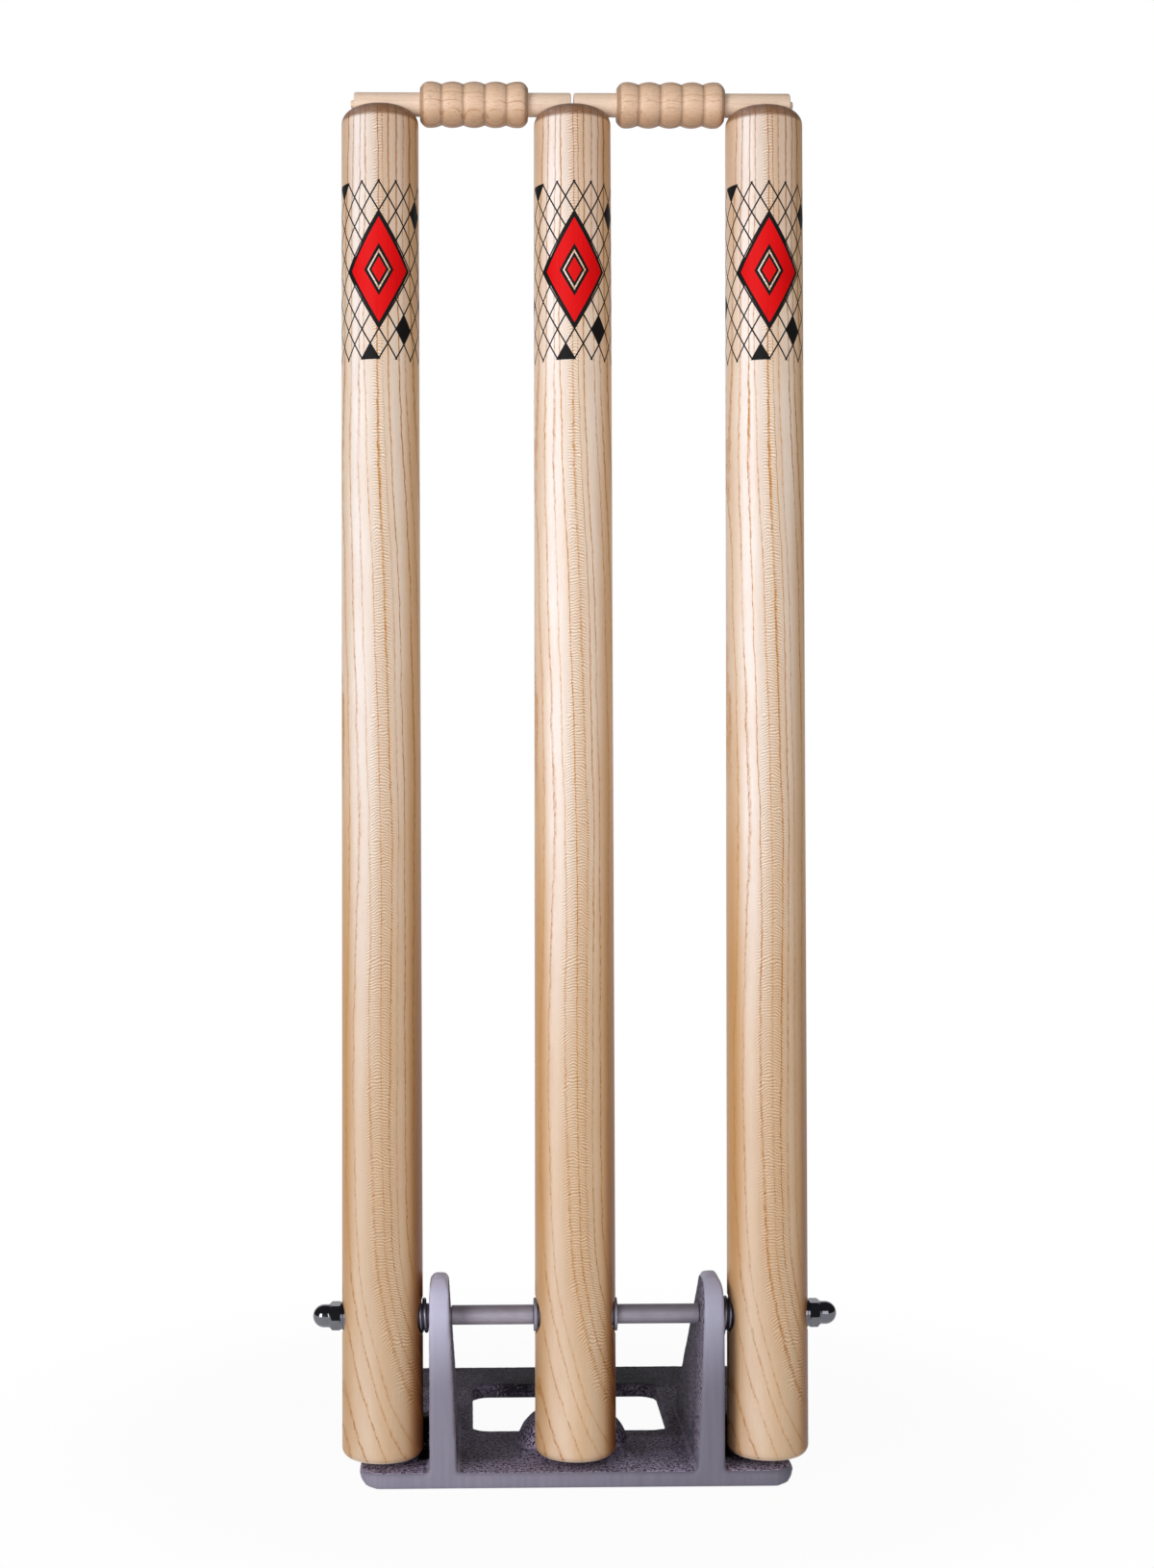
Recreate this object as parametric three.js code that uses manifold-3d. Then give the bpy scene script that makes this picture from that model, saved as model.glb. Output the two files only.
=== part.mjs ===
// Cricket stumps on a sprung metal base, built in millimetres with +Z up.
// X runs across the wicket, Y runs from front to back, and the origin lies on the ground, under the middle of
// the base.
import * as THREE from "three";
import { mergeVertices } from "three/addons/utils/BufferGeometryUtils.js";
import Module from "manifold-3d";

const wasm = await Module();
wasm.setup();

// The wicket as a whole
const wicketHeight = 711.2;
const stumpSpacing = 100;
const pivotDepth = 22;
const pivotHeight = 83.5;

// The wooden stumps
const stumpFootDiameter = 42;
const stumpTopDiameter = 40;
const footLift = 3.5;
const footEdgeRadius = 5;
const crownHeight = 10.5;
const crownFullness = 2.4;

// The turned bails
const bailBarrelLength = 56;
const bailBarrelDiameter = 23.2;
const bailBeadCount = 5;
const bailValleyDepth = 1.3;
const bailEndDrop = 3.2;
const bailSpigotDiameter = 12.2;
const bailLongSpigot = 34.3;
const bailShortSpigot = 22.3;
const bailEndRadius = 1.2;
const bailPipDiameter = 4.4;
const bailPipLength = 1.8;
const bailEndGap = 1.6;
const bailAxisRise = 1.3;
const bailSeatClearance = 0.3;

// The cast base plate and its window
const plateWidth = 224;
const plateDepth = 209;
const plateThickness = 8;
const plateCornerRadius = 14;
const plateEdgeRadius = 2;
const plateEndRadius = 7.5;
const windowWidth = 106;
const windowFrontBar = 77;
const windowRearBar = 42;
const windowCornerRadius = 9;

// The ears that carry the rod
const earTopThickness = 10.2;
const earRootThickness = 14.4;
const earOuterCrown = 8;
const earInnerCrown = 5;
const earSideGap = 3.4;

// The stops behind the feet
const stopClearance = 0.3;
const middleStopRadius = 29.6;
const middleStopHeight = 18;
const middleStopSetback = 15;
const outerStopHeight = 16.5;
const outerStopLength = 13;
const outerStopRun = 7;
const outerStopEdgeRadius = 2.5;
const outerStopMargin = 6;

// The pivot rod and what is threaded on it
const rodDiameter = 8;
const rodClearance = 0.2;
const rodNutDepth = 9.6;
const tubeDiameter = 10;
const sleeveDiameter = 12;
const sleeveClearance = 0.2;
const faceClearance = 0.05;
const washerDiameter = 17;
const washerThickness = 1.7;
const washerRunningGap = 0.3;
const spotFaceDepth = 2.7;
const spotFaceClearance = 0.5;
const middleWasherInset = 1;
const lockWasherDiameter = 14.2;
const lockWasherThickness = 1.5;
const lockWasherSplit = 1.3;
const nutAcrossFlats = 13;
const nutHexHeight = 5.3;
const nutChamferDiameter = 12.6;
const nutChamferHeight = 1.1;
const nutDomeDiameter = 11.8;
const nutDomeHeight = 8.9;
const nutRodGap = 0.7;
const nutTurnDegrees = 6.4;

// The return springs
const springWire = 2;
const springMeanDiameter = 16;
const springCoilGap = 0.46;
const springSeatGap = 0.4;
const springPocketClearance = 1.2;
const springHoleClearance = 0.35;
const springLegDepth = 5;
const springFloorGap = 0.25;
const outerSpringTurns = 4.25;
const middleSpringTurns = 3.25;
const leftLegReach = 22;
const leftLegDrop = 8.2;
const rightLegReach = 22;
const rightLegDrop = 27.5;
const washerNotchClearance = 0.5;

// Smoothness of the round shapes, and the overrun of every cut
const stumpSides = 40;
const stumpBoreSides = 24;
const bailSides = 24;
const hardwareSides = 24;
const smallHoleSides = 12;
const domeSides = 24;
const wireSides = 5;
const wireStepsPerTurn = 8;
const bendSteps = 3;
const crownSteps = 8;
const edgeSteps = 4;
const cornerSteps = 6;
const beadSteps = 6;
const cutOverrun = 5;
const weldingDistance = 0.0001;

// Places that follow from the sizes above
const frontY = -plateDepth / 2;
const pivotY = frontY + pivotDepth;
const footHeight = plateThickness + footLift;
const stumpLength = wicketHeight - footHeight;
const stumpFootRadius = stumpFootDiameter / 2;
const stumpTopRadius = stumpTopDiameter / 2;
const pivotShare = (pivotHeight - footHeight) / stumpLength;
const stumpPivotRadius = THREE.MathUtils.lerp(stumpFootRadius, stumpTopRadius, pivotShare);
const earOuterX = stumpSpacing - stumpPivotRadius - earSideGap;
const earHeadRadius = pivotDepth;
const stopFrontY = pivotY + stumpFootRadius + stopClearance;
const windowFrontY = frontY + windowFrontBar;
const windowDepth = plateDepth - windowFrontBar - windowRearBar;
const rodHoleRadius = rodDiameter / 2 + rodClearance;
const sleeveRadius = sleeveDiameter / 2;
const stumpBoreRadius = sleeveRadius + sleeveClearance;
const springRadius = springMeanDiameter / 2;
const springPitch = springWire + springCoilGap;
const springBend = springWire / 2 + springSeatGap;
const springHoleRadius = springWire / 2 + springHoleClearance;
const springPocketRadius = springRadius + springWire / 2 + springPocketClearance;
const stumpOuterX = stumpSpacing + stumpPivotRadius;
const outerWasherX = stumpOuterX - spotFaceDepth + washerRunningGap;
const lockWasherX = outerWasherX + washerThickness + faceClearance;
const nutX = lockWasherX + lockWasherThickness + faceClearance;
const middleWasherX = stumpPivotRadius - middleWasherInset;
const tubeStartX = middleWasherX + washerThickness + faceClearance;
const bailAxisZ = wicketHeight + bailAxisRise;
const bailStartX = bailEndGap / 2;

// Finishes
const finishes = {
  castMetal: { color: 0x77747e, roughness: 0.62, metalness: 0.55 },
  paleAsh: { color: 0xdcc19a, roughness: 0.5, metalness: 0 },
  bailWood: { color: 0xd6b48c, roughness: 0.5, metalness: 0 },
  brightSteel: { color: 0x8b8890, roughness: 0.35, metalness: 0.9 },
  chrome: { color: 0xd5d5da, roughness: 0.1, metalness: 1 },
  darkSpringSteel: { color: 0x34353c, roughness: 0.4, metalness: 0.85 },
};

// Turn a closed three.js geometry into a solid: weld its corners and drop the triangles that this flattened.
function solidFrom(geometry) {
  const bare = geometry.index ? geometry.toNonIndexed() : geometry.clone();
  bare.deleteAttribute("normal");
  bare.deleteAttribute("uv");
  const welded = mergeVertices(bare, weldingDistance);
  const corners = welded.index.array;
  const kept = [];
  for (let i = 0; i < corners.length; i += 3) {
    const [a, b, c] = [corners[i], corners[i + 1], corners[i + 2]];
    if (a !== b && b !== c && c !== a) kept.push(a, b, c);
  }
  const mesh = new wasm.Mesh({
    numProp: 3,
    vertProperties: new Float32Array(welded.attributes.position.array),
    triVerts: new Uint32Array(kept),
  });
  return new wasm.Manifold(mesh);
}

function geometryFrom(solid) {
  const mesh = solid.getMesh();
  const stride = mesh.numProp;
  const count = mesh.vertProperties.length / stride;
  const positions = new Float32Array(count * 3);
  for (let i = 0; i < count; i += 1) {
    for (let k = 0; k < 3; k += 1) positions[i * 3 + k] = mesh.vertProperties[i * stride + k];
  }
  const geometry = new THREE.BufferGeometry();
  geometry.setAttribute("position", new THREE.BufferAttribute(positions, 3));
  geometry.setIndex([...mesh.triVerts]);
  geometry.computeVertexNormals();
  return geometry;
}

// Spin a closed profile of [radius, height] points about the Z axis.
function turned(profile, sides) {
  const points = profile.map(([radius, height]) => new THREE.Vector2(radius, height));
  return solidFrom(new THREE.LatheGeometry(points, sides).rotateX(Math.PI / 2));
}

// Spin a closed profile of [radius, place] points about a line along X through the pivot height.
function turnedAlongX(profile, sides, y, z) {
  const points = profile.map(([radius, place]) => new THREE.Vector2(radius, place));
  const geometry = new THREE.LatheGeometry(points, sides).rotateZ(-Math.PI / 2);
  return solidFrom(geometry.translate(0, y, z));
}

function barAlongX(radius, startX, endX, sides, y, z) {
  const profile = [[0, startX], [radius, startX], [radius, endX], [0, endX]];
  return turnedAlongX(profile, sides, y, z);
}

function ringAlongX(innerRadius, outerRadius, startX, endX, sides) {
  const profile = [
    [innerRadius, startX],
    [outerRadius, startX],
    [outerRadius, endX],
    [innerRadius, endX],
    [innerRadius, startX],
  ];
  return turnedAlongX(profile, sides, pivotY, pivotHeight);
}

function block(lowX, lowY, lowZ, highX, highY, highZ) {
  const geometry = new THREE.BoxGeometry(highX - lowX, highY - lowY, highZ - lowZ);
  return solidFrom(geometry.translate((lowX + highX) / 2, (lowY + highY) / 2, (lowZ + highZ) / 2));
}

function mirrored(solid) {
  return solid.mirror([1, 0, 0]);
}

// Rounded rectangle centred on the given point, drawn anticlockwise.
function roundedRectangle(path, width, depth, radius, centreY) {
  const right = width / 2;
  const back = centreY + depth / 2;
  const front = centreY - depth / 2;
  path.moveTo(-right + radius, front);
  path.absarc(right - radius, front + radius, radius, -Math.PI / 2, 0, false);
  path.absarc(right - radius, back - radius, radius, 0, Math.PI / 2, false);
  path.absarc(-right + radius, back - radius, radius, Math.PI / 2, Math.PI, false);
  path.absarc(-right + radius, front + radius, radius, Math.PI, Math.PI * 1.5, false);
  path.closePath();
  return path;
}

// Extrude an outline drawn in depth and height along X between two places.
const sideways = new THREE.Matrix4().makeBasis(
  new THREE.Vector3(0, 1, 0),
  new THREE.Vector3(0, 0, 1),
  new THREE.Vector3(1, 0, 0),
);

function sideExtrusion(shape, startX, endX) {
  const options = { depth: endX - startX, bevelEnabled: false, curveSegments: cornerSteps };
  const geometry = new THREE.ExtrudeGeometry(shape, options).applyMatrix4(sideways);
  return solidFrom(geometry.translate(startX, 0, 0));
}

// Extrude an outline drawn in width and height along Y between two places.
function frontExtrusion(shape, startY, endY) {
  const options = { depth: endY - startY, bevelEnabled: false, curveSegments: edgeSteps };
  const geometry = new THREE.ExtrudeGeometry(shape, options).rotateX(Math.PI / 2);
  return solidFrom(geometry.translate(0, endY, 0));
}

// Sweep a round wire along a list of points, as one closed tube with flat ends.
function sweptWire(points, radius, sides) {
  const positions = [];
  const corners = [];
  let normal = null;
  points.forEach((point, i) => {
    const before = points[Math.max(i - 1, 0)];
    const after = points[Math.min(i + 1, points.length - 1)];
    const tangent = new THREE.Vector3().subVectors(after, before).normalize();
    if (normal === null) {
      const acrossFront = tangent.clone().cross(towardsFront);
      normal = new THREE.Vector3(tangent.y, -tangent.x, 0).add(acrossFront);
    }
    normal.addScaledVector(tangent, -normal.dot(tangent)).normalize();
    const side = new THREE.Vector3().crossVectors(tangent, normal);
    for (let j = 0; j < sides; j += 1) {
      const angle = (j / sides) * 2 * Math.PI;
      const rim = point.clone().addScaledVector(normal, radius * Math.cos(angle));
      positions.push(...rim.addScaledVector(side, radius * Math.sin(angle)).toArray());
    }
  });
  for (let i = 0; i + 1 < points.length; i += 1) {
    for (let j = 0; j < sides; j += 1) {
      const next = (j + 1) % sides;
      const [a, b] = [i * sides + j, i * sides + next];
      corners.push(a, b, a + sides, b, b + sides, a + sides);
    }
  }
  const last = (points.length - 1) * sides;
  for (let j = 1; j + 1 < sides; j += 1) {
    corners.push(0, j + 1, j);
    corners.push(last, last + j, last + j + 1);
  }
  const geometry = new THREE.BufferGeometry();
  geometry.setAttribute("position", new THREE.BufferAttribute(new Float32Array(positions), 3));
  geometry.setIndex(corners);
  return solidFrom(geometry);
}

// Least clear distance between stretches of a wire that are more than two turns of pitch apart along it.
function leastGap(points, wire) {
  const travelled = [0];
  for (let i = 1; i < points.length; i += 1) {
    travelled.push(travelled[i - 1] + points[i].distanceTo(points[i - 1]));
  }
  let least = Infinity;
  for (let i = 0; i < points.length; i += 1) {
    for (let j = i + 1; j < points.length; j += 1) {
      const apart = travelled[j] - travelled[i];
      if (apart > 2 * springPitch) least = Math.min(least, points[i].distanceTo(points[j]));
    }
  }
  return least - wire;
}

// A quarter bend from one direction into another that is square to it, about a corner.
function quarterBend(corner, from, to, radius) {
  const centre = corner.clone().addScaledVector(from, -radius).addScaledVector(to, radius);
  const points = [];
  for (let i = 0; i <= bendSteps; i += 1) {
    const angle = (i / bendSteps) * (Math.PI / 2);
    const point = centre.clone().addScaledVector(to, -radius * Math.cos(angle));
    points.push(point.addScaledVector(from, radius * Math.sin(angle)));
  }
  return points;
}

// A torsion spring about the pivot. Its fixed leg stands in a hole at (holeY, holeZ) from the pivot, with its
// mouth at mouthX. Its other leg stands in a hole in the floor of the stump's pocket, and it winds up as the
// stump tips back.
function torsionSpring({ mouthX, direction, turns, holeY, holeZ, legDepth }) {
  const along = new THREE.Vector3(direction, 0, 0);
  const centre = new THREE.Vector3(0, pivotY, pivotHeight);
  const reach = Math.hypot(holeY, holeZ);
  const legLength = Math.sqrt(Math.max(reach * reach - springRadius * springRadius, 0));
  const startAngle = Math.atan2(holeZ, holeY) - Math.atan2(legLength, springRadius);
  const endAngle = startAngle - 2 * Math.PI * turns;
  const radial = (angle) => new THREE.Vector3(0, Math.cos(angle), Math.sin(angle));
  const travel = (angle) => new THREE.Vector3(0, Math.sin(angle), -Math.cos(angle));
  const fixedX = mouthX + direction * springBend;
  const fixedCorner = new THREE.Vector3(fixedX, pivotY + holeY, pivotHeight + holeZ);
  const legEnd = fixedCorner.clone().addScaledVector(along, -springBend - legDepth);
  const points = [legEnd, ...quarterBend(fixedCorner, along, travel(startAngle), springBend)];
  const steps = Math.round(turns * wireStepsPerTurn);
  const firstStep = legLength > springBend + springWire ? 0 : 1;
  for (let i = firstStep; i <= steps; i += 1) {
    const share = i / steps;
    const angle = THREE.MathUtils.lerp(startAngle, endAngle, share);
    const point = centre.clone().addScaledVector(radial(angle), springRadius);
    points.push(point.setX(fixedX + direction * springPitch * turns * share));
  }
  const coilEnd = points[points.length - 1];
  const pocketCorner = coilEnd.clone().addScaledVector(travel(endAngle), springBend);
  points.push(...quarterBend(pocketCorner, travel(endAngle), along, springBend).slice(1));
  points.push(pocketCorner.clone().addScaledVector(along, springBend + springLegDepth));
  return { points, pocketCorner, floorX: pocketCorner.x + direction * (springBend + springFloorGap) };
}

const towardsFront = new THREE.Vector3(0, -1, 0);
const middleLegReach = Math.hypot(springRadius, springBend);
const rightSpring = torsionSpring({
  mouthX: earOuterX,
  direction: 1,
  turns: outerSpringTurns,
  holeY: rightLegReach,
  holeZ: -rightLegDrop,
  legDepth: springLegDepth,
});
const leftSpring = torsionSpring({
  mouthX: -earOuterX,
  direction: -1,
  turns: outerSpringTurns,
  holeY: leftLegReach,
  holeZ: -leftLegDrop,
  legDepth: springLegDepth,
});
const middleSprings = [-1, 1].map((side) => torsionSpring({
  mouthX: side * middleWasherX,
  direction: -side,
  turns: middleSpringTurns,
  holeY: middleLegReach,
  holeZ: 0,
  legDepth: washerThickness + springSeatGap,
}));

function springSolid(name, spring) {
  console.log(`${name}: least gap between turns ${leastGap(spring.points, springWire).toFixed(3)} mm`);
  return sweptWire(spring.points, springWire / 2, wireSides);
}

// The drilled hole in the stump that takes a spring's leg, with the pocket that houses its coil.
function springPocket(spring, mouthX) {
  const floorX = spring.floorX;
  const inward = Math.sign(floorX - mouthX);
  const { y, z } = spring.pocketCorner;
  const holeEnd = floorX + inward * (springLegDepth + springSeatGap);
  const mouth = mouthX - inward * cutOverrun;
  const [pocketLow, pocketHigh] = [Math.min(mouth, floorX), Math.max(mouth, floorX)];
  const pocket = barAlongX(springPocketRadius, pocketLow, pocketHigh, stumpBoreSides, pivotY, pivotHeight);
  const holeStart = floorX - inward * springFloorGap;
  const [holeLow, holeHigh] = [Math.min(holeStart, holeEnd), Math.max(holeStart, holeEnd)];
  return pocket.add(barAlongX(springHoleRadius, holeLow, holeHigh, smallHoleSides, y, z));
}

// The turned blank of a stump about the Z axis: rounded foot edge, slow taper and a full crown.
function stumpBlank() {
  const profile = [[0, footHeight]];
  for (let i = 0; i <= edgeSteps; i += 1) {
    const angle = (i / edgeSteps) * (Math.PI / 2);
    const radius = stumpFootRadius - footEdgeRadius + footEdgeRadius * Math.sin(angle);
    profile.push([radius, footHeight + footEdgeRadius - footEdgeRadius * Math.cos(angle)]);
  }
  const crownStart = wicketHeight - crownHeight;
  for (let i = 0; i < crownSteps; i += 1) {
    const angle = (i / crownSteps) * (Math.PI / 2);
    const radius = stumpTopRadius * Math.cos(angle) ** (2 / crownFullness);
    profile.push([radius, crownStart + crownHeight * Math.sin(angle) ** (2 / crownFullness)]);
  }
  profile.push([0, wicketHeight]);
  return turned(profile, stumpSides).translate([0, pivotY, 0]);
}

function bailGroove() {
  const reach = stumpTopRadius + cutOverrun;
  const radius = bailSpigotDiameter / 2 + bailSeatClearance;
  return barAlongX(radius, -reach, reach, stumpBoreSides, pivotY, bailAxisZ);
}

// Bores, pockets and groove of the middle stump.
function middleStump() {
  const reach = stumpFootRadius + cutOverrun;
  const bore = barAlongX(stumpBoreRadius, -reach, reach, stumpBoreSides, pivotY, pivotHeight);
  let stump = stumpBlank().subtract(bore).subtract(bailGroove());
  for (const [i, side] of [-1, 1].entries()) {
    stump = stump.subtract(springPocket(middleSprings[i], side * stumpPivotRadius));
  }
  return stump;
}

// An outer stump has a spring pocket towards the ear and a spot face under the nut's washer.
function outerStump(side, spring) {
  const place = side * stumpSpacing;
  const reach = stumpFootRadius + cutOverrun;
  const bore = barAlongX(stumpBoreRadius, -reach, reach, stumpBoreSides, pivotY, pivotHeight);
  const faceStart = stumpPivotRadius - spotFaceDepth;
  const faceRadius = washerDiameter / 2 + spotFaceClearance;
  let spotFace = barAlongX(faceRadius, faceStart, reach, stumpBoreSides, pivotY, pivotHeight);
  if (side < 0) spotFace = mirrored(spotFace);
  const pocket = springPocket(spring, side * (stumpSpacing - stumpPivotRadius)).translate([-place, 0, 0]);
  return stumpBlank().subtract(bore).subtract(bailGroove()).subtract(spotFace).subtract(pocket);
}

// A bail turned along X, from its short inner spigot to its long outer spigot with the lathe's pip.
function bail() {
  const spigot = bailSpigotDiameter / 2;
  const barrel = bailBarrelDiameter / 2;
  const bead = bailBarrelLength / bailBeadCount;
  const barrelStart = bailShortSpigot;
  const outerEnd = bailShortSpigot + bailBarrelLength + bailLongSpigot;
  const profile = [[0, 0], [spigot - bailEndRadius, 0], [spigot, bailEndRadius], [spigot, barrelStart]];
  for (let i = 0; i < bailBeadCount; i += 1) {
    for (let j = i === 0 ? 0 : 1; j <= beadSteps; j += 1) {
      const across = (2 * j) / beadSteps - 1;
      const outermost = (i === 0 && across < 0) || (i === bailBeadCount - 1 && across > 0);
      const drop = outermost ? bailEndDrop : bailValleyDepth;
      profile.push([barrel - drop * across * across, barrelStart + bead * (i + j / beadSteps)]);
    }
  }
  const pip = bailPipDiameter / 2;
  profile.push([spigot, barrelStart + bailBarrelLength], [spigot, outerEnd - bailEndRadius]);
  profile.push([spigot - bailEndRadius, outerEnd], [pip, outerEnd], [pip, outerEnd + bailPipLength]);
  profile.push([0, outerEnd + bailPipLength]);
  return turnedAlongX(profile, bailSides, pivotY, bailAxisZ).translate([bailStartX, 0, 0]);
}

// Front outline of the plate, whose lower corners are well rounded at both ends.
function plateFront() {
  const right = plateWidth / 2;
  const inset = right - plateEndRadius;
  const top = plateThickness + cutOverrun;
  const outline = new THREE.Shape();
  outline.moveTo(-right, top);
  outline.absarc(-inset, plateEndRadius, plateEndRadius, Math.PI, Math.PI * 1.5, false);
  outline.absarc(inset, plateEndRadius, plateEndRadius, -Math.PI / 2, 0, false);
  outline.lineTo(right, top);
  outline.closePath();
  return frontExtrusion(outline, frontY - cutOverrun, frontY + plateDepth + cutOverrun);
}

// The base plate, with a rounded upper edge and a window for the ground to show through.
function basePlate() {
  const shape = roundedRectangle(new THREE.Shape(), plateWidth, plateDepth, plateCornerRadius, 0);
  const centreY = windowFrontY + windowDepth / 2;
  shape.holes.push(roundedRectangle(new THREE.Path(), windowWidth, windowDepth, windowCornerRadius, centreY));
  const geometry = new THREE.ExtrudeGeometry(shape, {
    depth: plateThickness,
    bevelThickness: plateEdgeRadius,
    bevelSize: plateEdgeRadius,
    bevelOffset: -plateEdgeRadius,
    bevelSegments: 2,
    curveSegments: cornerSteps,
  });
  const below = block(-plateWidth, -plateDepth, -plateThickness, plateWidth, plateDepth, 0);
  return solidFrom(geometry.translate(0, 0, -plateEdgeRadius)).subtract(below).intersect(plateFront());
}

// One ear: its side outline and its front outline, each extruded and the two crossed. The front outline is
// drafted on its inner face, and its crown falls away further on the outside.
function ear() {
  const buried = plateThickness / 2;
  const slopeAngle = Math.PI / 4;
  const topZ = pivotHeight + earHeadRadius;
  const slopeY = pivotY + earHeadRadius * Math.cos(slopeAngle);
  const slopeZ = pivotHeight + earHeadRadius * Math.sin(slopeAngle);
  const side = new THREE.Shape();
  side.moveTo(frontY, buried);
  side.lineTo(slopeY + slopeZ - buried, buried);
  side.lineTo(slopeY, slopeZ);
  side.absarc(pivotY, pivotHeight, earHeadRadius, slopeAngle, Math.PI, false);
  side.closePath();
  const innerX = earOuterX - earTopThickness;
  const rootX = earOuterX - earRootThickness;
  const draft = (earRootThickness - earTopThickness) / (topZ - plateThickness);
  const halfTop = earTopThickness / 2;
  const crownX = innerX + halfTop;
  const front = new THREE.Shape();
  front.moveTo(rootX - draft * (plateThickness - buried), buried);
  front.lineTo(earOuterX, buried);
  front.lineTo(earOuterX, topZ - earOuterCrown);
  front.absellipse(crownX, topZ - earOuterCrown, halfTop, earOuterCrown, 0, Math.PI / 2, false);
  front.absellipse(crownX, topZ - earInnerCrown, halfTop, earInnerCrown, Math.PI / 2, Math.PI, false);
  front.closePath();
  const fromSide = sideExtrusion(side, rootX - cutOverrun, earOuterX + cutOverrun);
  return frontExtrusion(front, frontY - cutOverrun, frontY + plateDepth).intersect(fromSide);
}

// The round boss behind the middle foot, flat where the foot bears on it and flush with the window behind.
const bossShares = [
  [0, -0.2],
  [1, -0.2],
  [1, 0.12],
  [0.9, 0.45],
  [0.77, 0.68],
  [0.6, 0.88],
  [0.35, 1],
  [0, 1],
];

function middleStop() {
  const profile = bossShares.map(([across, up]) => [
    across * middleStopRadius,
    plateThickness + up * middleStopHeight,
  ]);
  const boss = turned(profile, domeSides).translate([0, stopFrontY + middleStopSetback, 0]);
  const reach = middleStopRadius + cutOverrun;
  const top = plateThickness + middleStopHeight + cutOverrun;
  return boss.intersect(block(-reach, stopFrontY, 0, reach, windowFrontY, top));
}

// The stop behind an outer foot is a lug with a flat front that runs out from the ear.
function outerStop() {
  const buried = plateThickness / 2;
  const top = plateThickness + outerStopHeight;
  const edge = outerStopEdgeRadius;
  const side = new THREE.Shape();
  side.moveTo(stopFrontY, buried);
  side.lineTo(stopFrontY + outerStopLength + outerStopRun, buried);
  side.lineTo(stopFrontY + outerStopLength, top - edge);
  side.absarc(stopFrontY + outerStopLength - edge, top - edge, edge, 0, Math.PI / 2, false);
  side.absarc(stopFrontY + edge, top - edge, edge, Math.PI / 2, Math.PI, false);
  side.closePath();
  return sideExtrusion(side, earOuterX - edge, plateWidth / 2 - outerStopMargin);
}

function baseCasting() {
  let casting = basePlate().add(middleStop());
  for (const rightPiece of [ear(), outerStop()]) casting = casting.add(rightPiece).add(mirrored(rightPiece));
  const reach = stumpSpacing;
  const rodHole = barAlongX(rodHoleRadius, -reach, reach, hardwareSides, pivotY, pivotHeight);
  casting = casting.subtract(rodHole);
  const legHoles = [[rightLegReach, rightLegDrop, 1], [leftLegReach, leftLegDrop, -1]];
  for (const [legReach, drop, side] of legHoles) {
    const end = earOuterX - springLegDepth - springSeatGap;
    const hole = barAlongX(springHoleRadius, end, earOuterX + cutOverrun, smallHoleSides, pivotY + legReach,
      pivotHeight - drop);
    casting = casting.subtract(side < 0 ? mirrored(hole) : hole);
  }
  return casting;
}

// Hardware on the rod, made for the right-hand side.
function pivotRod() {
  const end = nutX + rodNutDepth;
  return barAlongX(rodDiameter / 2, -end, end, hardwareSides, pivotY, pivotHeight);
}

function spacerTube() {
  const end = earOuterX - earTopThickness - faceClearance - tubeEndAllowance();
  return ringAlongX(rodHoleRadius, tubeDiameter / 2, tubeStartX, end, hardwareSides);
}

// The ear's inner face leans, so the tube stops where its lower edge meets the thicker part of the ear.
function tubeEndAllowance() {
  const draft = (earRootThickness - earTopThickness) / (pivotHeight + earHeadRadius - plateThickness);
  return draft * (earHeadRadius + tubeDiameter / 2);
}

function middleWasher() {
  const notch = springWire / 2 + washerNotchClearance;
  const radius = washerDiameter / 2;
  const end = middleWasherX + washerThickness;
  const ring = ringAlongX(rodHoleRadius, radius, middleWasherX, end, hardwareSides);
  const near = pivotY + middleLegReach - notch;
  const far = pivotY + radius + cutOverrun;
  const [cutStart, cutEnd] = [middleWasherX - cutOverrun, end + cutOverrun];
  return ring.subtract(block(cutStart, near, pivotHeight - notch, cutEnd, far, pivotHeight + notch));
}

function middleSleeve() {
  const end = middleWasherX - faceClearance;
  return ringAlongX(rodHoleRadius, sleeveRadius, -end, end, hardwareSides);
}

function outerSleeve() {
  const start = earOuterX + faceClearance;
  return ringAlongX(rodHoleRadius, sleeveRadius, start, outerWasherX - faceClearance, hardwareSides);
}

function flatWasher() {
  const end = outerWasherX + washerThickness;
  return ringAlongX(rodHoleRadius, washerDiameter / 2, outerWasherX, end, hardwareSides);
}

function lockWasher() {
  const radius = lockWasherDiameter / 2;
  const end = lockWasherX + lockWasherThickness;
  const ring = ringAlongX(rodHoleRadius, radius, lockWasherX, end, hardwareSides);
  const half = lockWasherSplit / 2;
  const top = pivotHeight + radius + cutOverrun;
  const [cutStart, cutEnd] = [lockWasherX - cutOverrun, end + cutOverrun];
  return ring.subtract(block(cutStart, pivotY - half, pivotHeight, cutEnd, pivotY + half, top));
}

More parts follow.
